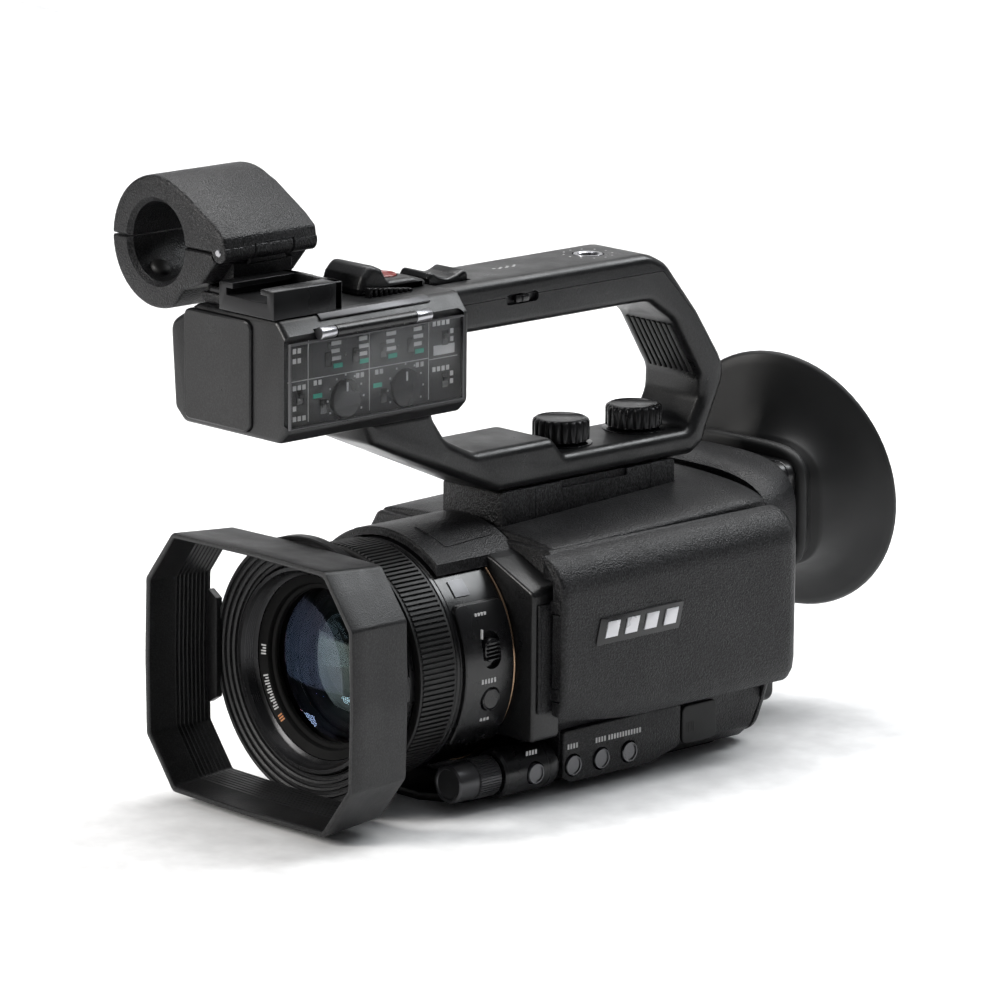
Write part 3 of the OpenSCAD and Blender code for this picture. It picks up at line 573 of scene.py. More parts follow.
other = rounded([(-0.2, -42), (-36, -42, 6), (-46, -34, 8), (-49, -15, 20), (-49, 12, 20), (-45, 26, 12),
      (-39.6, 34.6, 3), (-0.2, 34.6)], 0.4, 6)
piece("right_shell", Shape().prism(other, "y", 90.35, 188, 1.2, 3), GRAIN, ["right_casing"], clips=[heel],
      cuts=[Shape().rod(6.8, 180, 195, RECORD_KEY, n=48)])


def top_section(y, s=0.0):
    """The top cover's section: a shallow arch that rises towards the back."""
    t = (y - 92) / 96
    hi, lo, w = 37.6 + 4.4 * t - s, 34.4 + 1.2 * t - s, 39.5 - s
    n = 24
    top = [(w * cos(pi * k / n), y, lo + (hi - lo) * sin(pi * k / n) ** 0.9) for k in range(n + 1)]
    return top + [(-w, y, 32.0), (w, y, 32.0)]


top = Shape().skin([top_section(92.4, 0.9), top_section(92.7, 0.3), top_section(93.4)]
      + [top_section(100 + 11 * k) for k in range(8)] + [top_section(187.2), top_section(187.8, 0.3),
      top_section(188.0, 0.8)])
piece("top_shell", top, GRAIN, ["top_cover"], angle=40, cuts=[Shape().box(-14, 14, 94.6, 172.4, 25, 60,
      0.1), Shape().rod(2.1, 30, 50, ROCKER_PIVOT, "z", 24)])
bottom = Shape().prism(rounded([(-30, 59, 4), (-14, 59), (14, 59), (27, 66, 6), (27, 182, 5),
      (-30, 182, 5)], 1, 5), "z", -45, -42.2, 0.6)
bottom.prism(rounded([(-30, 59), (17.4, 59), (17.4, 78.4), (-30, 78.4)], 2), "z", -42.6, -38.2, 1.4, 4)
for k in range(9):
    bottom.box(-26, -6, 76 + 2.4 * k, 77 + 2.4 * k, -45.0, -44.6, 0.1)
piece("base_cover", bottom, SMOOTH, ["base_plate"], cuts=[Shape().rod(6, -50, -38, (0, 110), "z", 48)]
      + [Shape().rod(2.7, -50, -43.4, (x, y), "z", 32) for x in (-22, 20) for y in (68, 172)])
rear_plate = rounded([(-46, -30, 8), (-36, -42, 5), (34, -42, 8), (38.6, -30, 6), (41.6, -20, 4),
      (41.6, 33, 2), (30, 37, 20), (0, 41.6, 60), (-30, 37, 20), (-44, 30, 5)], 2.0, 6)
rear = Shape().prism(rear_plate, "y", 188.1, 191.0, 0.3, 4, 2.0)


def dome(y, s=0.0):
    """The rear shell's section: a soft arch that narrows from the top cover to the viewfinder."""
    t = (y - 188.3) / 22.4
    half, high, low, n = 39.3 - 7.5 * t * t - s, 42.0 + 3.0 * sin(min(1.0,
          2.2 * t) * pi / 2) - s, 5.0 + s, 3.2
    loop = []
    for k in range(64):
        c, q = cos(2 * pi * k / 64), sin(2 * pi * k / 64)
        reach = high - 24 if q > 0 else 24 - low
        loop.append((half * copysign(abs(c) ** (2 / n), c), y, 24 + reach * copysign(abs(q) ** (2 / n), q)))
    return loop


piece("rear_shell", rear, GRAIN, ["rear_housing"], cuts=[Shape().rod(6.3, 187, 195, RECORD_KEY, n=48),
      Shape().prism(rect(-25.6, 25.6, 6.7, 43, 5, 8), "y", 189, 215, 0)])
back = Shape().skin([dome(190.5, 0.2)] + [dome(192.0 + 2.1 * k) for k in range(9)]
      + [dome(209.6), dome(210.2, 0.3), dome(210.6, 0.9), dome(210.8, 1.6)])
piece("rear_dome", back, GRAIN, cuts=[Shape().prism(rect(-24.1, 24.1, 8.3, 41.4, 4.5, 8), "y", 180, 201,
      0), Shape().prism(rect(-25.6, 25.6, 6.7, 42.9, 5, 8), "y", 199, 215, 0)], angle=40,
      solver="MANIFOLD", slot="grained_black")
pack = Shape().prism(rect(-22, 22, -38, 3.6, 4, 6), "y", 191.2, 212, 1.6, 4)
for z in (-30, -6):
    pack.box(-18, 18, 211.8, 212.15, z, z + 0.7, 0.1)
for k in range(6):
    pack.box(-6 + 2 * k, -5 + 2 * k, 205, 209.4, 3.3, 3.9, 0.2)
piece("battery_case", pack, SMOOTH, ["battery_pack"], "battery_group")

# ---- side screen ---------------------------------------------------------------------
def lcd_section(y, s=0.0):
    """The screen case's section at Y, moved in by s: a flat face that rolls over into a round shoulder."""
    t = max(0.0, min(1.0, (y - 85) / 40))
    zb, lift = -16.2 - 5.0 * sin(t * pi / 2), 1.3 * (y - 85) / 106
    pts = [(42.4, zb + 0.8), (49.4, zb), (51.4, zb + 3.4), (52.0, zb + 7.5), (52, 10)]
    pts += arc(39, 22 + lift, 13, [75.2 * k / 12 for k in range(13)])
    pts = inset(pts, s) if s else pts
    return [(x, y, z) for x, z in pts]


panel = Shape().skin([lcd_section(85.2, 1.0), lcd_section(85.5, 0.35), lcd_section(86.2)]
      + [lcd_section(y) for y in (88, 92, 97, 103, 110, 118, 125, 140, 155, 170, 182, 187)]
      + [lcd_section(189.4, 0.5), lcd_section(190.6, 1.3), lcd_section(191.0, 2.2)])
outline = Shape().prism(rounded([(85, -40, 1), (191.2, -24, 12), (191.2, 36.4, 10), (85, 60, 1)], 1, 10),
      "x", 36, 56, 0)
notches = [Shape().box(38, 47.2, 80, 91.3, -40, 27.6, 0.05)]
notches += [Shape().box(45, 50.7, 80, 89.4, z - 0.3, z + 4.3, 0.05) for z in (-11, 17)]
notches += [Shape().box(41, 47.6, 99.3, 176.7, -16.5, 28.5, 0.05)]
piece("screen_case", panel, GRAIN, ["lcd_panel_shell"], "lcd_group", clips=[outline], cuts=notches,
      bevel=0.7, seg=3, angle=40, solver="MANIFOLD")
glass = Shape().box(42.7, 44.6, 99.5, 176.5, -16.3, 28.3, 0.3)
piece("screen_glass", glass, SCREEN, ["lcd_screen"], "lcd_group")
badge = Shape().prism(rounded([(99.2, 5.2), (136, 5.2), (138.2, 14.0), (101.4, 14.0)], 0.8, 4), "x", 51.9,
      52.35, 0.2).ink(1)
for k in range(4):
    badge.prism([(103 + 8.6 * k, 7.2), (108.4 + 8.6 * k, 7.2), (109.8 + 8.6 * k, 12.2),
          (104.4 + 8.6 * k, 12.2)], "x", 52.2, 52.75, 0.2)
piece("screen_badge", badge, [SATIN, BRIGHT], body="lcd_group")
hinge = Shape().box(45.05, 46.05, 80.6, 91.0, -15, 20, 0.5, 3)
for z in (-11, 17):
    hinge.prism(rounded([(45.8, 85.45), (48.5, 85.45, 1.7), (50.2, 85.5, 1.7), (50.2, 88.9, 1.7),
          (45.8, 88.95)], 0.2, 6), "z", z, z + 4, 0.2)
hinge.rod(1, -13, 23, (48.5, 87.2), "z", 24)
hinge.prism(rect(81.8, 89.6, -13.4, 18.4, 1.2), "x", 45.9, 46.3, 0.2)
piece("screen_hinge", hinge, GRAIN, ["lcd_hinge"])

# ---- side controls -------------------------------------------------------------------
controls = Shape().prism(rounded([(97.2, -39.6, 2), (101, -41.6, 3), (136, -41.6, 6), (149.6, -38.0, 3),
      (149.6, -24.4), (97.2, -24.4)], 1.2), "x", 37.6, 40.4, 0.5, 3)
piece("control_face", controls, GRAIN, ["control_panel"], cuts=[Shape().prism(disc(y, KEY_Z, 3.75), "x",
      35, 44, 0) for y in KEY_Y], bevel=0.2)


def spun_key(name, y, z, x1, node, body):
    """A round side button whose face, at X = x1, is turned in fine rings."""
    face = [(0, x1 - 0.5)]
    for k in range(9):
        face += [(0.3 * k + 0.25, x1 - 0.5 + 0.04 * (k % 2)), (0.3 * k + 0.4, x1 - 0.5
              + 0.04 * ((k + 1) % 2))]
    profile = face + [(2.8, x1 - 0.05), (3.1, x1), (3.3, x1 - 0.25), (3.3, x1 - 3.4), (0, x1 - 3.4)]
    piece(name, Shape().lathe(profile, (y, z), "x", 56), SPUN, [node], body, angle=50)


spun_key("menu_key", *MENU_KEY, 41.4, "menu_button", "menu_button_group")
for label, y in zip(("iris", "gain", "shutter"), KEY_Y):
    spun_key(label + "_key", y, KEY_Z, 41.1, label + "_button", label + "_button_group")
print_side = Shape()
for y, n in ((101.5, 4), (113.9, 4), (124.5, 12)):
    for k in range(n):
        print_side.box(40.3, 40.45, y - 0.62 * n + 1.25 * k, y - 0.62 * n + 1.25 * k + 0.75, -30.6, -28.9,
              0.03)
for k in range(4):
    print_side.box(38.9, 39.05, 82.2 + 1.3 * k, 83.0 + 1.3 * k, -29.9, -28.4, 0.03)
piece("side_print", print_side, PRINT)
pod = Shape().lathe([(0, 72.6), (7.0, 72.6), (7.8, 73.4), (7.8, 90.6), (7.55, 90.9), (7.55, 91.5),
      (7.8, 91.8), (7.8, 94.0), (6.9, 95.8), (5.0, 96.6), (0, 96.6)], DIAL_AXIS, n=72)
pod.prism(rounded([(21, -42), (33, -43), (33, -27.4), (30, -25), (21, -25)], 1.0), "y", 73, 96.3, 0.8)
pod.prism(rounded([(19, -42), (25.8, -42), (25.8, -27), (19, -27)], 1), "y", 58, 73.2, 0.8)
pod.prism(rounded([(19, -28.6), (36.5, -28.6), (39, -27), (37.5, -25.4), (19, -25.4)], 0.8), "y", 56.6,
      73.2, 0.8)
pod.rod(1.5, 55.6, 73, DIAL_AXIS, n=24)
piece("dial_housing", pod, SATIN, ["dial_pod"], cuts=[Shape().rod(37.7, 50, 78.8, n=120),
      Shape().prism(disc(*MENU_KEY, 3.8), "x", 35.6, 46, 0)])
knurl = [(54.0, 4.9, 4.9), (54.0, 5.6, 5.6), (54.5, 6.2, 6.2), (61.9, 6.2, 6.2), (62.2, 5.7, 5.7),
      (62.8, 5.7, 5.7), (63.0, 6.0, 6.4), (71.4, 6.0, 6.4), (71.8, 5.9, 5.9), (72.2, 5.6, 5.6),
      (72.2, 1.56, 1.56), (55.4, 1.56, 1.56), (55.4, 0.2, 0.2), (54.6, 0.2, 0.2), (54.4, 4.6, 4.6)]
piece("menu_dial_wheel", Shape().gear(knurl, 44, DIAL_AXIS), GREY, ["menu_dial"], "menu_dial_group",
      angle=38)
flap = Shape().prism(rect(150.4, 166, -38.2, -25.4, 2.2), "x", 39.0, 40.5, 0.5, 3)
for k in range(4):
    flap.box(40.3, 40.62, 152 + 1.1 * k, 152.5 + 1.1 * k, -34.5, -31, 0.1)
piece("jack_flap", flap, RUBBER, ["jack_cover"], "jack_cover_group")

# ---- viewfinder ----------------------------------------------------------------------
tube = Shape().prism(rect(-25.1, 25.1, 7.2, 42.5, 4.7, 8), "y", 200, 219, 0.8, 3)
tube.prism(rect(-23.6, 23.6, 8.8, 40.9, 4.2, 8), "y", 192, 201, 0.3)
tube.prism(rect(-25.3, 25.3, 7.0, 42.7, 4.8, 8), "y", 213.0, 213.7, 0.2)
piece("viewfinder_barrel", tube, SATIN, ["viewfinder_tube"], "viewfinder_group",
      cuts=[Shape().lathe([(0, 212), (14.6, 212), (15.2, 221), (0, 221)], EYE_AXIS, n=64)])
eye = [14.3 * k / 10 for k in range(11)]
piece("eyepiece_glass", Shape().lathe([(r, 219.3 - 40 + sqrt(1600 - r * r)) for r in eye]
      + [(14.3, 214.2), (0, 214.2)], EYE_AXIS, n=64), GLASS2, ["eyepiece_lens"], "viewfinder_group")


def cup_point(k, t, base=1.0):
    """A point on the flare: t runs from the squarish neck (0) to the tilted oval rim (1)."""
    c, s = cos(2 * pi * k / 72), sin(2 * pi * k / 72)
    grow, p = max(0.0, t) ** 1.6, 0.42 + 0.58 * min(1.0, max(0.0, t) * 1.5)
    bx, bz = 26.0 * base * copysign(abs(c) ** p, c), 25.8 + 20.2 * base * copysign(abs(s) ** p, s)
    rx, rz, ry = 36.2 * c, 30.2 + 43.6 * s, 238.0 + 14.2 * c - 8.0 * s
    return Vector((bx + (rx - bx) * grow, 222.6 + (ry - 222.6) * t, bz + (rz - bz) * grow))


def cup_ring(t, base=1.0, y=None, wall=0.0):
    """One loop of the flare, moved in by the wall's thickness at right angles to its surface."""
    loop = []
    for k in range(72):
        v = cup_point(k, t, base)
        along = (cup_point(k, t + 0.03, base) - cup_point(k, t - 0.03 if t > 0.03 else 0.0,
              base)).normalized()
        around = (cup_point(k + 1, t, base) - cup_point(k - 1, t, base)).normalized()
        v = v - along.cross(around).normalized() * -wall
        loop.append((v.x, v.y if y is None else y, v.z))
    return loop


outer = [cup_ring(0, 0.97, 216.6), cup_ring(0, 1.03, 217.3), cup_ring(0, 1.06, 219.0),
      cup_ring(0, 1.03, 220.7), cup_ring(0, 0.98, 221.7)]
outer += [cup_ring(0.07 * k, 0.95) for k in range(15)] + [cup_ring(1.0, 0.95)]
inner = [cup_ring(1.005, 0.95, wall=w) for w in (0.5, 1.2)] + [cup_ring(0.97 - 0.07 * k, 0.95, wall=1.8)
      for k in range(13)]
inner += [cup_ring(0, 0.78, 221.6), cup_ring(0, 0.74, 217.6)]
piece("eyecup_rubber", Shape().skin(outer + inner, wrap=True), SOFT, ["eyecup"], "viewfinder_group",
      angle=70)

# ---- grip side -----------------------------------------------------------------------
strap = []
for k in range(29):
    a = radians(-47 + 94 * k / 28)
    swell = cos(a * 1.6) if abs(a * 1.6) < 1.5 else 0.0
    half_t, half_w = 0.9 + 1.3 * max(0.0, swell), 14 + 7 * max(0.0, swell) ** 0.5
    loop = []
    for j in range(28):
        q = 2 * pi * j / 28
        c, s = cos(q), sin(q)
        r = 46.6 + half_t * copysign(abs(c) ** 0.7, c)
        loop.append((-16.2 - r * cos(a), 130 + r * sin(a), 1 + half_w * copysign(abs(s) ** 0.35, s)))
    strap.append(loop)
band = piece("hand_strap_band", Shape().skin(strap), CLOTH, ["hand_strap"], angle=60)
anchors = Shape()
for y in (97.0, 163.0):
    anchors.prism(rect(y - 3.4, y + 3.4, -14, 16, 1.6), "x", -51.6, -46, 0.9, 3)
piece("strap_anchors", anchors, SMOOTH)
lever = Shape().prism(rounded([(-43, 124, 3), (-36, 122.5, 3), (-29, 125, 3), (-29, 135, 3),
      (-36, 137.5, 3), (-43, 136, 3)], 3, 6), "z", 39.2, 42.2, 0.8, 3)
for k in range(4):
    lever.box(-41, -34, 126.3 + 2.2 * k, 127.1 + 2.2 * k, 42.0, 42.7, 0.2)
lever.rod(2, 36.5, 39.6, ROCKER_PIVOT, "z", 24)
piece("grip_zoom_key", lever, SATIN, ["grip_zoom_lever"], "grip_zoom_lever_group")
piece("record_key", Shape().lathe([(0, 191.3), (3.4, 191.3), (4.2, 191.9), (5.6, 192.0), (6, 191.6),
      (6, 188.4), (0, 188.4)], RECORD_KEY, n=48), RED, ["record_button"], "record_button_group")

# ---- handle --------------------------------------------------------------------------
foot = Shape().prism(rect(95, 172, 34, 48.3, 1.0), "x", -13.7, 13.7, 0.4)
piece("handle_foot_block", foot, COARSE, ["shoe_foot"], cuts=[Shape().prism(rect(121, 150.5, 46.0, 49.5,
      0.8), "x", 12.4, 20, 0)] + [Shape().box(13.4, 20, y, y + 0.35, 30, 50, 0.02) for y in (109.5, 161.0)]
      + [Shape().rod(3.1, 39, 52, (0, y), "z", 24) for y in KNOB_Y])
grip = rounded([(93.5, 48.5, 3), (180.2, 48.5, 5), (185.6, 51.6, 5), (187.6, 57, 6), (194.2, 71, 10),
      (194.9, 76, 10), (192.4, 80.8, 14), (182.2, 95.8, 40), (167.8, 113.0, 12), (160, 117, 14),
      (68.3, 117, 0.5), (68.3, 101.4, 0.5), (160, 101.4, 7), (171.6, 93.6, 10), (184.0, 73.6, 6),
      (184.0, 66.4, 8), (178.8, 57, 4), (122.6, 57, 3), (117.6, 62.8, 4), (84, 62.8, 8), (71.4, 68.8, 10),
      (66.2, 76, 6), (64.8, 79.8, 0.5), (36.2, 79.8, 0.5), (40, 71.5, 3)], 3, 6)
layer = [(60, 126), (60, 110.8), (159, 110.8), (165.2, 110.8), (180.6, 94.4), (192, 77.6), (204, 77.6),
      (204, 126)]
whole = Shape().prism(grip, "x", -14, 14, 3.0, 5)
screw_holes = [Shape().rod(3.3, 44, 60, (0, y), "z", 24) for y in KNOB_Y]
well = Shape().rod(5.2, 104, 122, (0, INSERT_Y), "z", 48)
lock = Shape().prism(stadium(0, 0, 1.7, 5.4), "x", 12.4, 17, 0)
lock.v = [(x, 102.7 + z, 110.1 - y) for x, y, z in lock.v]
piece("handle_body", whole, SMOOTH, ["handle_frame"], cuts=[Shape().prism(layer, "x", -20, 20, 0), well,
      lock] + screw_holes, angle=40)
cap_zone = [(60, 126), (60, 111.0), (159, 111.0), (165.3, 111.0), (180.8, 94.55), (192.2, 77.8),
      (204, 77.8), (204, 126)]
piece("handle_top", Shape().prism(grip, "x", -14, 14, 3.0, 5), SMOOTH, ["handle_top_cover"],
      clips=[Shape().prism(cap_zone, "x", -20, 20, 0)], cuts=[well, lock,
      Shape().box(-7.4, 7.4, 60, 87, 113.6, 130, 0.4)], angle=40)
strip = Shape()
for k in range(9):
    start = len(strip.v)
    strip.prism(rect(-10.4 + 2.4 * k, -8.8 + 2.4 * k, -0.2, 0.5, 0.3), "y", 0, 20.5, 0.3)
    lean = radians(-58.2)
    strip.v[start:] = [(x, 172.6 + y * cos(lean) + z * sin(lean), 92.0 + y * sin(lean) - z * cos(lean))
          for x, y, z in strip.v[start:]]
piece("grip_ribs", strip, RUBBER)


def flutes(cy, name, node, body):
    """A fluted thumb screw standing at Y = cy."""
    loops = []
    for z, r, deep in ((57.6, 8.2, 0), (58.3, 8.8, 0), (58.6, 9.3, 0.9), (64.0, 9.3, 0.9),
            (64.8, 8.9, 0.6), (65.3, 8.2, 0.0), (65.4, 7.6, 0), (65.1, 7.3, 0), (65.1, 0.3, 0)):
        loop = []
        for k in range(180):
            a = 2 * pi * k / 180
            q = r - deep * abs(sin(a * 10)) ** 6
            loop.append((q * cos(a), cy + q * sin(a), z))
        loops.append(loop)
    knob = Shape().skin(loops)
    knob.rod(3, 41, 57.9, (0, cy), "z", 32)
    piece(name, knob, METAL, [node], body, angle=50)


flutes(KNOB_Y[0], "front_thumb_screw", "front_mount_knob", "front_knob_group")
flutes(KNOB_Y[1], "rear_thumb_screw", "rear_mount_knob", "rear_knob_group")
washers = Shape()
for y in KNOB_Y:
    washers.lathe([(3.3, 57.0), (10.2, 57.0), (10.2, 57.25), (9.8, 57.45), (3.3, 57.45)], (0, y), "z", 64)
piece("knob_washers", washers, GLOSS)
saddle = rounded([(68.9, 115.2), (86.1, 115.2), (86.1, 118.6), (85.0, 120.6, 2), (81.6, 119.2, 4),
      (77.5, 118.4, 8), (73.4, 119.6, 4), (70.4, 121.4, 2), (68.9, 119.4)], 0.8, 5)
piece("handle_rocker", Shape().prism(saddle, "x", -6.8, 6.8, 1.0, 3), SATIN, ["handle_zoom_rocker"],
      "handle_zoom_rocker_group")
piece("handle_record_key", Shape().lathe([(0, 121.6), (3.4, 121.6), (4.2, 122.1), (4.7, 122), (5, 121.7),
      (5, 119.2), (0, 119.2)], HANDLE_KEY, "z", 48), RED, ["handle_record_button"],
      "handle_record_button_group")
piece("hold_slider", Shape().box(12.8, 14.5, 99.7, 105.5, 108.9, 111.2, 0.5).box(14.1, 14.9, 102.1, 103.1,
      109.0, 111.1, 0.3), SATIN, ["hold_switch"], "hold_switch_group")
piece("thread_insert", Shape().lathe([(3.2, 111), (3.2, 116.7), (3.6, 117.1), (4.7, 117.1), (4.9, 116.8),
      (4.9, 110.2), (0, 110.2), (0, 111)], (0, INSERT_Y), "z", 64), STEEL, ["handle_thread_insert"])
top_print = Shape()
for k in range(7):
    top_print.box(-1.5 + 1.1 * (k % 2), -0.7 + 1.1 * (k % 2), 104 + 1.5 * k, 105 + 1.5 * k, 117.0, 117.06,
          0.02)
for k in range(12):
    a = 2 * pi * k / 12
    px, py = 8 * cos(a), INSERT_Y + 8 * sin(a)
    top_print.box(px - 0.3, px + 0.3, py - 0.3, py + 0.3, 117.0, 117.06, 0.02)
piece("handle_print", top_print, PRINT)

# ---- audio box -----------------------------------------------------------------------
box = rounded([(-26.5, 84, 3), (-22, 80, 3), (22, 80, 3), (26, 84, 3), (26, 112, 2), (21, 118, 3),
      (-16, 118, 3), (-28.5, 110.5, 5)], 2, 5)
body_box = Shape().prism(box, "y", -6.5, 68, 1.6, 4, 0.8)
recess = [Shape().prism(rect(-21.2, 10.2, 81.5, 116.5, 3), "y", -12, -3.8, 0),
      Shape().prism(rect(-6.6, 66.2, 84.6, 113.4, 2), "x", 24.2, 34, 0),
      Shape().rod(2.5, 5.4, 51.8, LID_HINGE, n=32)]
recess += [Shape().rod(11.9, -34, -20, (y, JACK_Z), "x", 48) for y in JACK_Y]
recess += [Shape().rod(6.05, 19, 30, (y, LEVEL_Z), "x", 48) for y in LEVEL_Y]
piece("audio_box_shell", body_box, SMOOTH, ["xlr_box"], cuts=recess, bevel=0.25)
bulge = Shape().skin([[(x * (1 - s * 0.02), -4.0 - d - 1.2 * (1 - (x + 5.5) ** 2 / 260), 99
      + (z - 99) * (1 - s * 0.02)) for x, z in inset(ccw(rect(-21, 10, 81.7, 116.3, 3, 6)), i)]
      for d, s, i in ((-1.5, 0, 0), (2.6, 0, 0), (3.1, 0, 0.15), (3.4, 0, 0.6))])
piece("audio_front", bulge, SMOOTH, ["xlr_front_cover"], angle=30)
sockets = Shape()
for y in JACK_Y:
    sockets.lathe([(8, -29.4), (11, -29.4), (11.7, -28.8), (11.7, -14), (0, -14), (0, -17), (8, -17)],
          (y, JACK_Z), "x", 56)
    for a in (90, 210, 330):
        q = radians(a)
        sockets.rod(1.0, -19.5, -16.5, (y + 4.2 * cos(q), JACK_Z + 4.2 * sin(q)), "x", 16)
    sockets.box(-29.6, -28.6, y - 3, y + 3, 105.4, 107.6, 0.3)
piece("audio_sockets", sockets, METAL, ["xlr_jacks"])
cover = Shape().prism(rounded([(-6, 85, 2), (65.6, 85, 2), (65.6, 111.2, 2), (-6, 111.2, 2)], 2, 5), "x",
      25.4, 26.5, 0.25)
cover.box(25.3, 26.4, 8, 49.4, 110.6, 113.3, 0.3)
hinge_barrel = Shape().rod(1.9, 12.2, 45.0, LID_HINGE, n=32).ink(1)
for y0 in (5.8, 45.2):
    hinge_barrel.lathe([(0, y0), (1.7, y0), (1.9, y0 + 0.2), (1.9, y0 + 5.9), (1.7, y0 + 6.2),
          (0, y0 + 6.2)], LID_HINGE, n=32)
piece("audio_clear_cover", cover, CLEAR, ["audio_cover"], "audio_cover_group")
piece("audio_cover_hinge", hinge_barrel, [SATIN, STEEL], body="audio_cover_group", slot="clear_plastic")
rim = Shape()
for y0, y1, z0, z1 in ((-6, 65.6, 84.9, 85.5), (-6, 65.6, 110.8, 111.4), (-6.1, -5.5, 85, 111.3),
        (65.2, 65.8, 85, 111.3)):
    rim.box(25.5, 26.7, y0, y1, z0, z1, 0.2)
piece("audio_cover_frame", rim, GREY, body="audio_cover_group")
for n, y in zip("12", LEVEL_Y):
    dial = Shape().gear([(20.6, 5.5, 5.5), (24.0, 5.5, 5.5), (24.1, 5.5, 5.8), (24.8, 5.5, 5.8),
          (24.9, 5.2, 5.2), (24.9, 0.2, 0.2)], 30, (y, LEVEL_Z), "x", wrap=False).ink(1)
    dial.prism([(y - 0.35, 93.6), (y + 0.35, 93.6), (y + 0.35, 96.4), (y - 0.35, 96.4)], "x", 24.8, 25.0,
          0.05)
    piece("audio_dial_face_" + n, dial, [SATIN, PRINT], ["audio_dial_" + n], "audio_dial_%s_group" % n,
          angle=45)
keys = Shape()
spots = [(11.4 + 11.2 * k, 104.2) for k in range(4)] + [(9.4, 90.2), (34.0, 90.2), (59.4, 91.6),
      (59.4, 104.6), (0, 94.2)]
for y, z in spots:
    keys.box(24.22, 24.5, y - 1.2, y + 1.2, z - 2.2, z + 2.2, 0.1)
    keys.ink(1).box(24.4, 25.0, y - 0.9, y + 0.9, z - 0.2, z + 1.1, 0.15).ink(0)
piece("audio_switch_keys", keys, [GLOSS, SATIN], ["audio_switches"], slot="smooth_black")
ink = Shape()
for y in (3.4, 28.2, 52.6):
    ink.box(24.15, 24.3, y - 0.12, y + 0.12, 86.4, 111.2, 0.02)
for y0, y1, z in ((-5, 52.6, 99.2), (52.6, 64.6, 98.6)):
    ink.box(24.15, 24.3, y0, y1, z - 0.12, z + 0.12, 0.02)
for k in range(4):
    for row in range(3):
        ink.box(24.15, 24.3, 12.75 + 11.2 * k, 16.7 + 11.2 * k - 0.6 * ((row + k) % 2), 108.2 - 2.3 * row,
              109.4 - 2.3 * row, 0.02)
for y in LEVEL_Y:
    for k in range(11):
        a = radians(-60 + 30 * k)
        py, pz = y + 7.3 * cos(a), LEVEL_Z + 7.3 * sin(a)
        ink.box(24.15, 24.3, py - 0.3, py + 0.3, pz - 0.3, pz + 0.3, 0.02)
for y0, z0, n in ((-4.6, 107.6, 3), (-4.6, 104.6, 3), (-4.6, 96.4, 4), (-4.6, 90.2, 2), (-4.6, 87.0, 4),
        (5.6, 97.0, 2), (30.6, 97.0, 2), (54.2, 108.6, 4), (54.2, 94.6, 4), (61.6, 105.6, 1),
        (61.6, 103.2, 1), (61.6, 92.6, 1), (61.6, 90.2, 1), (22.8, 97.0, 2), (47.3, 97.0, 2)):
    for k in range(n):
        ink.box(24.15, 24.3, y0 + 1.9 * k, y0 + 1.9 * k + 1.3, z0, z0 + 1.5, 0.02)
ink.ink(1)
for y0, z0 in ((5.4, 93.0), (29.8, 93.0), (13.7, 101.2), (24.3, 101.2), (36.0, 101.2), (47.0, 101.2)):
    ink.box(24.15, 24.3, y0, y0 + 3.6, z0, z0 + 1.4, 0.02)
ink.ink(2).box(24.15, 24.32, 54.6, 63.4, 99.6, 102.6, 0.3)
piece("audio_panel_print", ink, [PRINT, GREEN, PRINT])
piece("level_strip", Shape().prism(rounded([(18.4, 115.4), (21.6, 115.4), (23.2, 116.6), (21.4, 118.2),
      (18.4, 118.2)], 0.4), "y", 9.5, 55, 0.3), GREY)
shoe = Shape().prism([(-4, 118.1), (21, 118.1), (21, 126.6), (20.6, 127), (14.8, 127), (14.8, 125.2),
      (17.8, 125.2), (17.8, 123), (-0.8, 123), (-0.8, 125.2), (2.2, 125.2), (2.2, 127), (-3.6, 127),
      (-4, 126.6)], "y", -7.8, 20, 0.3)
shoe.box(-4, 21, 17, 20, 118.1, 127, 0.4)
piece("accessory_shoe", shoe, METAL, ["cold_shoe"], bevel=0.2, angle=50)
desk = Shape().prism(rounded([(38, 117.9), (66, 117.9), (66, 119.8, 1), (61, 121.4, 3), (50, 121.6, 2),
      (47.6, 125.4, 2), (43, 127.4, 3), (39.5, 124, 2), (38, 120, 1)], 1, 5), "x", -9.5, 9.5, 2.0, 4)
piece("record_desk", desk, SMOOTH, solver="MANIFOLD", cuts=[Shape().rod(5.3, 115, 130, HANDLE_KEY, "z",
      48)])
grille = Shape()
for k in range(9):
    grille.box(10.8, 13.2, 38.6 + 2.1 * k, 39.8 + 2.1 * k, 117.8, 121.0 - 0.25 * k, 0.3)
piece("mic_grille_ribs", grille, SATIN)

# ---- microphone holder ---------------------------------------------------------------
def mic_arc(angles):
    return [(*p, 0) for p in arc(MIC_X, MIC_Z, 20.7, angles)]


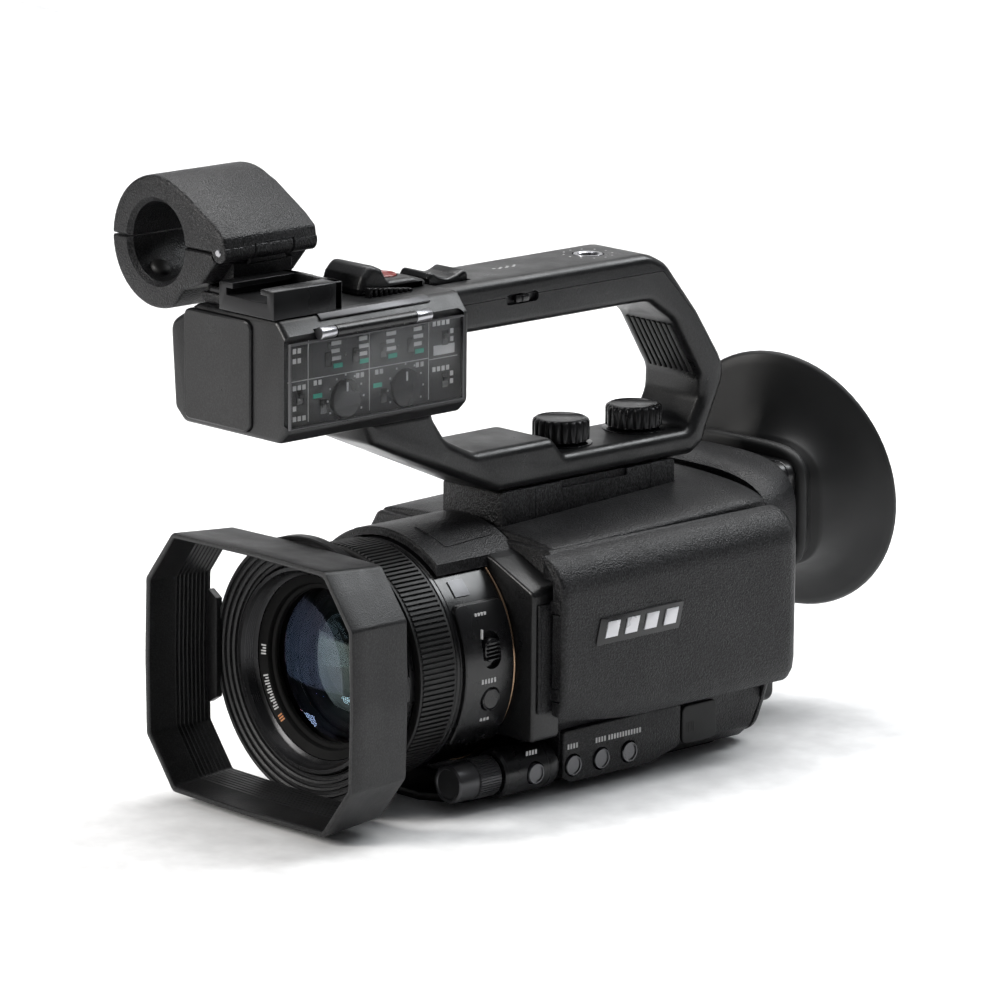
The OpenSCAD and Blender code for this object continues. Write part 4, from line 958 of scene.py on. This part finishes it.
cap_side = rounded([(-53.85, 134.9, 0.3)] + mic_arc(range(176, 58, -6))
      + [(-20.0, 151.6, 0), (-6.5, 143.6, 3), (-1.8, 140.0, 2), (-1.2, 136.2, 1.5), (-3.4, 134.9, 0.4)],
      0.5, 3)
bore = Shape().lathe([(0, -12), (13.9, -12), (13.9, -8.0), (12.5, -6.4), (12.5, 28.4), (13.9, 30),
      (13.9, 34), (0, 34)], (MIC_X, MIC_Z), n=96)
knuckle = [Shape().rod(3.5, 4.5, 20.3, (PIN_X, PIN_Z), n=40)]
cap_shape = Shape().prism(cap_side, "y", -8, 30, 1.1, 3)
piece("mic_cap", cap_shape, GRAIN, ["mic_holder_cap"], "mic_holder_cap_group", cuts=[bore] + knuckle,
      angle=32, slot="smooth_black")
cap_knuckles = Shape()
for y0, y1 in ((-7.9, 4.4), (20.4, 29.9)):
    cap_knuckles.lathe([(1.25, y0), (2.9, y0), (3.2, y0 + 0.3), (3.2, y1 - 0.3), (2.9, y1), (1.25, y1)],
          (PIN_X, PIN_Z), n=40)
piece("mic_cap_knuckles", cap_knuckles, GRAIN, body="mic_holder_cap_group")
base_side = rounded([(-53.85, 134.5, 0.3)] + mic_arc(range(184, 296, 6))
      + [(-20, 121.6, 2), (-12, 124.6, 3), (-6.0, 131.4, 1), (-5.4, 134.5, 0.3)], 0.5, 3)
outer_cuts = [bore] + [Shape().rod(3.5, y0, y1, (PIN_X, PIN_Z), n=40)
      for y0, y1 in ((-12, 4.8), (20.0, 34))]
piece("mic_base", Shape().prism(base_side, "y", -8, 30, 1.1, 3), GRAIN, ["mic_holder_base"],
      cuts=outer_cuts, angle=32, slot="smooth_black")
post = Shape().prism(rounded([(-15.2, 118.1), (-6.2, 118.1), (-6.2, 131), (-15.2, 128)], 0.6), "y", 0, 24,
      0.5)
post.lathe([(1.25, 4.8), (2.9, 4.8), (3.2, 5.1), (3.2, 19.7), (2.9, 20), (1.25, 20)], (PIN_X, PIN_Z), n=40)
post.prism(rounded([(-7.5, 129.4), (-4.4, 130.6), (-4.4, 133.4), (-7.5, 134)], 0.6), "y", 5.2, 19.6, 0.3)
post.prism(rounded([(-16.5, 118.1), (-4.5, 118.1), (-4.5, 121.4), (-16.5, 121.4)], 0.8), "y", -4, 34, 0.6)
piece("mic_post", post, GRAIN)
plate = Shape().prism(rounded([(-15.4, -3), (-5.2, -3), (-5.2, 33), (-15.4, 33)], 1.5), "z", 121.3, 123.4,
      0.3)
piece("mic_bracket_plate", plate, METAL, cuts=[Shape().prism(rect(-10.9, -7.0, 1, 22, 1.9), "z", 120, 125,
      0), Shape().box(-6.8, 0, 25, 27, 120, 125, 0.1)])
piece("mic_hinge_pin", Shape().lathe([(0, -8.3), (0.9, -8.3), (1.2, -8), (1.2, 30), (0.9, 30.3),
      (0, 30.3)], (PIN_X, PIN_Z), n=24), STEEL, ["mic_holder_pin"])
pads = Shape()
for a in (35, -35):
    for y in (0, 22):
        q = radians(-90 + a)
        cx, cz = MIC_X + 11.6 * cos(q), MIC_Z + 11.6 * sin(q)
        loops = []
        for d, r in ((-1.1, 3.3), (-0.2, 3.3), (0.5, 2.9), (0.9, 2.0), (1.0, 0.3)):
            loop = []
            for k in range(24):
                p = 2 * pi * k / 24
                u, w = r * cos(p), r * sin(p)
                loop.append((cx - d * cos(q) - u * sin(q), y + w, cz - d * sin(q) + u * cos(q)))
            loops.append(loop)
        pads.skin(loops)
piece("mic_rubber_pads", pads, RUBBER, ["mic_pads"], angle=50)

# ---- parts shown as they are in the CAD ----------------------------------------------
for n, m in (("image_sensor", BOARD), ("main_board", BOARD), ("tripod_socket", STEEL),
        ("base_screws", STEEL)):
    node_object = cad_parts[n]
    node_object.data.materials.clear()
    node_object.data.materials.append(m)

# ---- studio --------------------------------------------------------------------------
floor_loops = []
for k in range(24):
    t = k / 23
    if t < 0.5:
        y, z = -3.0 + 5.0 * (t / 0.5), 0.0
    else:
        a = radians(90 * (t - 0.5) / 0.5)
        y, z = 2.0 + 1.6 * sin(a), 1.6 * (1 - cos(a))
    floor_loops.append((y, z))
floor_loops.append((3.6, 4.5))
turn = Matrix.Rotation(radians(AZIMUTH), 4, "Z")
mesh = bpy.data.meshes.new("studio_floor")
verts = [turn @ Vector((x, y, z)) for y, z in floor_loops for x in (-5, 5)]
mesh.from_pydata(verts, [], [(2 * i, 2 * i + 1, 2 * i + 3, 2 * i + 2) for i in range(len(floor_loops) - 1)])
for p in mesh.polygons:
    p.use_smooth = True
studio = bpy.data.objects.new("studio_floor", mesh)
bpy.context.scene.collection.objects.link(studio)
studio.data.materials.append(finish("pale_backdrop", (0.86, 0.86, 0.86), rough=0.75, fine=0.2,
      fine_cell=1.5, edge_wear_and_highlight=0.0, spec=0.2, vary=0.03))

world = bpy.data.worlds.new("studio_air")
bpy.context.scene.world = world
world.use_nodes = True
sky = world.node_tree
sky.nodes["Background"].inputs["Color"].default_value = (0.93, 0.95, 1.0, 1)
heading = sky.nodes.new("ShaderNodeTexCoord")
parts = sky.nodes.new("ShaderNodeSeparateXYZ")
ramp = sky.nodes.new("ShaderNodeMapRange")
ramp.inputs["From Min"].default_value, ramp.inputs["From Max"].default_value = 0.1, 0.9
ramp.inputs["To Min"].default_value, ramp.inputs["To Max"].default_value = 0.03, 0.3
sky.links.new(heading.outputs["Generated"], parts.inputs[0])
sky.links.new(parts.outputs["Z"], ramp.inputs["Value"])
sky.links.new(ramp.outputs[0], sky.nodes["Background"].inputs["Strength"])


def softbox(name, place, aim, wide, high, power, colour=(1, 1, 1)):
    light = bpy.data.lights.new(name, "AREA")
    light.shape, light.size, light.size_y = "RECTANGLE", wide, high
    light.energy, light.color = power, colour
    lamp = bpy.data.objects.new(name, light)
    lamp.location = place
    lamp.rotation_euler = (Vector(aim) - Vector(place)).to_track_quat("-Z", "Y").to_euler()
    bpy.context.scene.collection.objects.link(lamp)


centre = (0.0, 0.02, 0.09)
softbox("overhead", (-0.15, 0.25, 1.25), centre, 1.2, 0.8, 14)
softbox("front_left", (-0.5, -1.5, 0.85), centre, 0.5, 0.7, 26, (1.0, 0.98, 0.95))
softbox("back_right", (0.35, 1.05, 1.1), centre, 0.5, 0.5, 9, (0.95, 0.98, 1.0))
softbox("backdrop_wash", (-0.6, 1.1, 1.9), (-1.4, 1.9, 0.3), 2.2, 1.0, 38)

cam = bpy.data.cameras.new("camera")
camera = bpy.data.objects.new("camera", cam)
bpy.context.scene.collection.objects.link(camera)
az, el, roll = radians(AZIMUTH), radians(ELEVATION), radians(ROLL)
back = Vector((sin(az) * cos(el), -cos(az) * cos(el), sin(el)))
right = Vector((cos(az), sin(az), 0))
up = back.cross(right)
cx, cy = right * cos(roll) + up * sin(roll), up * cos(roll) - right * sin(roll)
basis = Matrix((cx, cy, back)).transposed().to_4x4()
camera.matrix_world = Matrix.Translation((1.4263, -1.3668, 0.5372)) @ basis
cam.lens, cam.sensor_width, cam.clip_end = 229.2, 36.0, 50.0
bpy.context.scene.camera = camera
bpy.context.scene.view_settings.view_transform = "Standard"
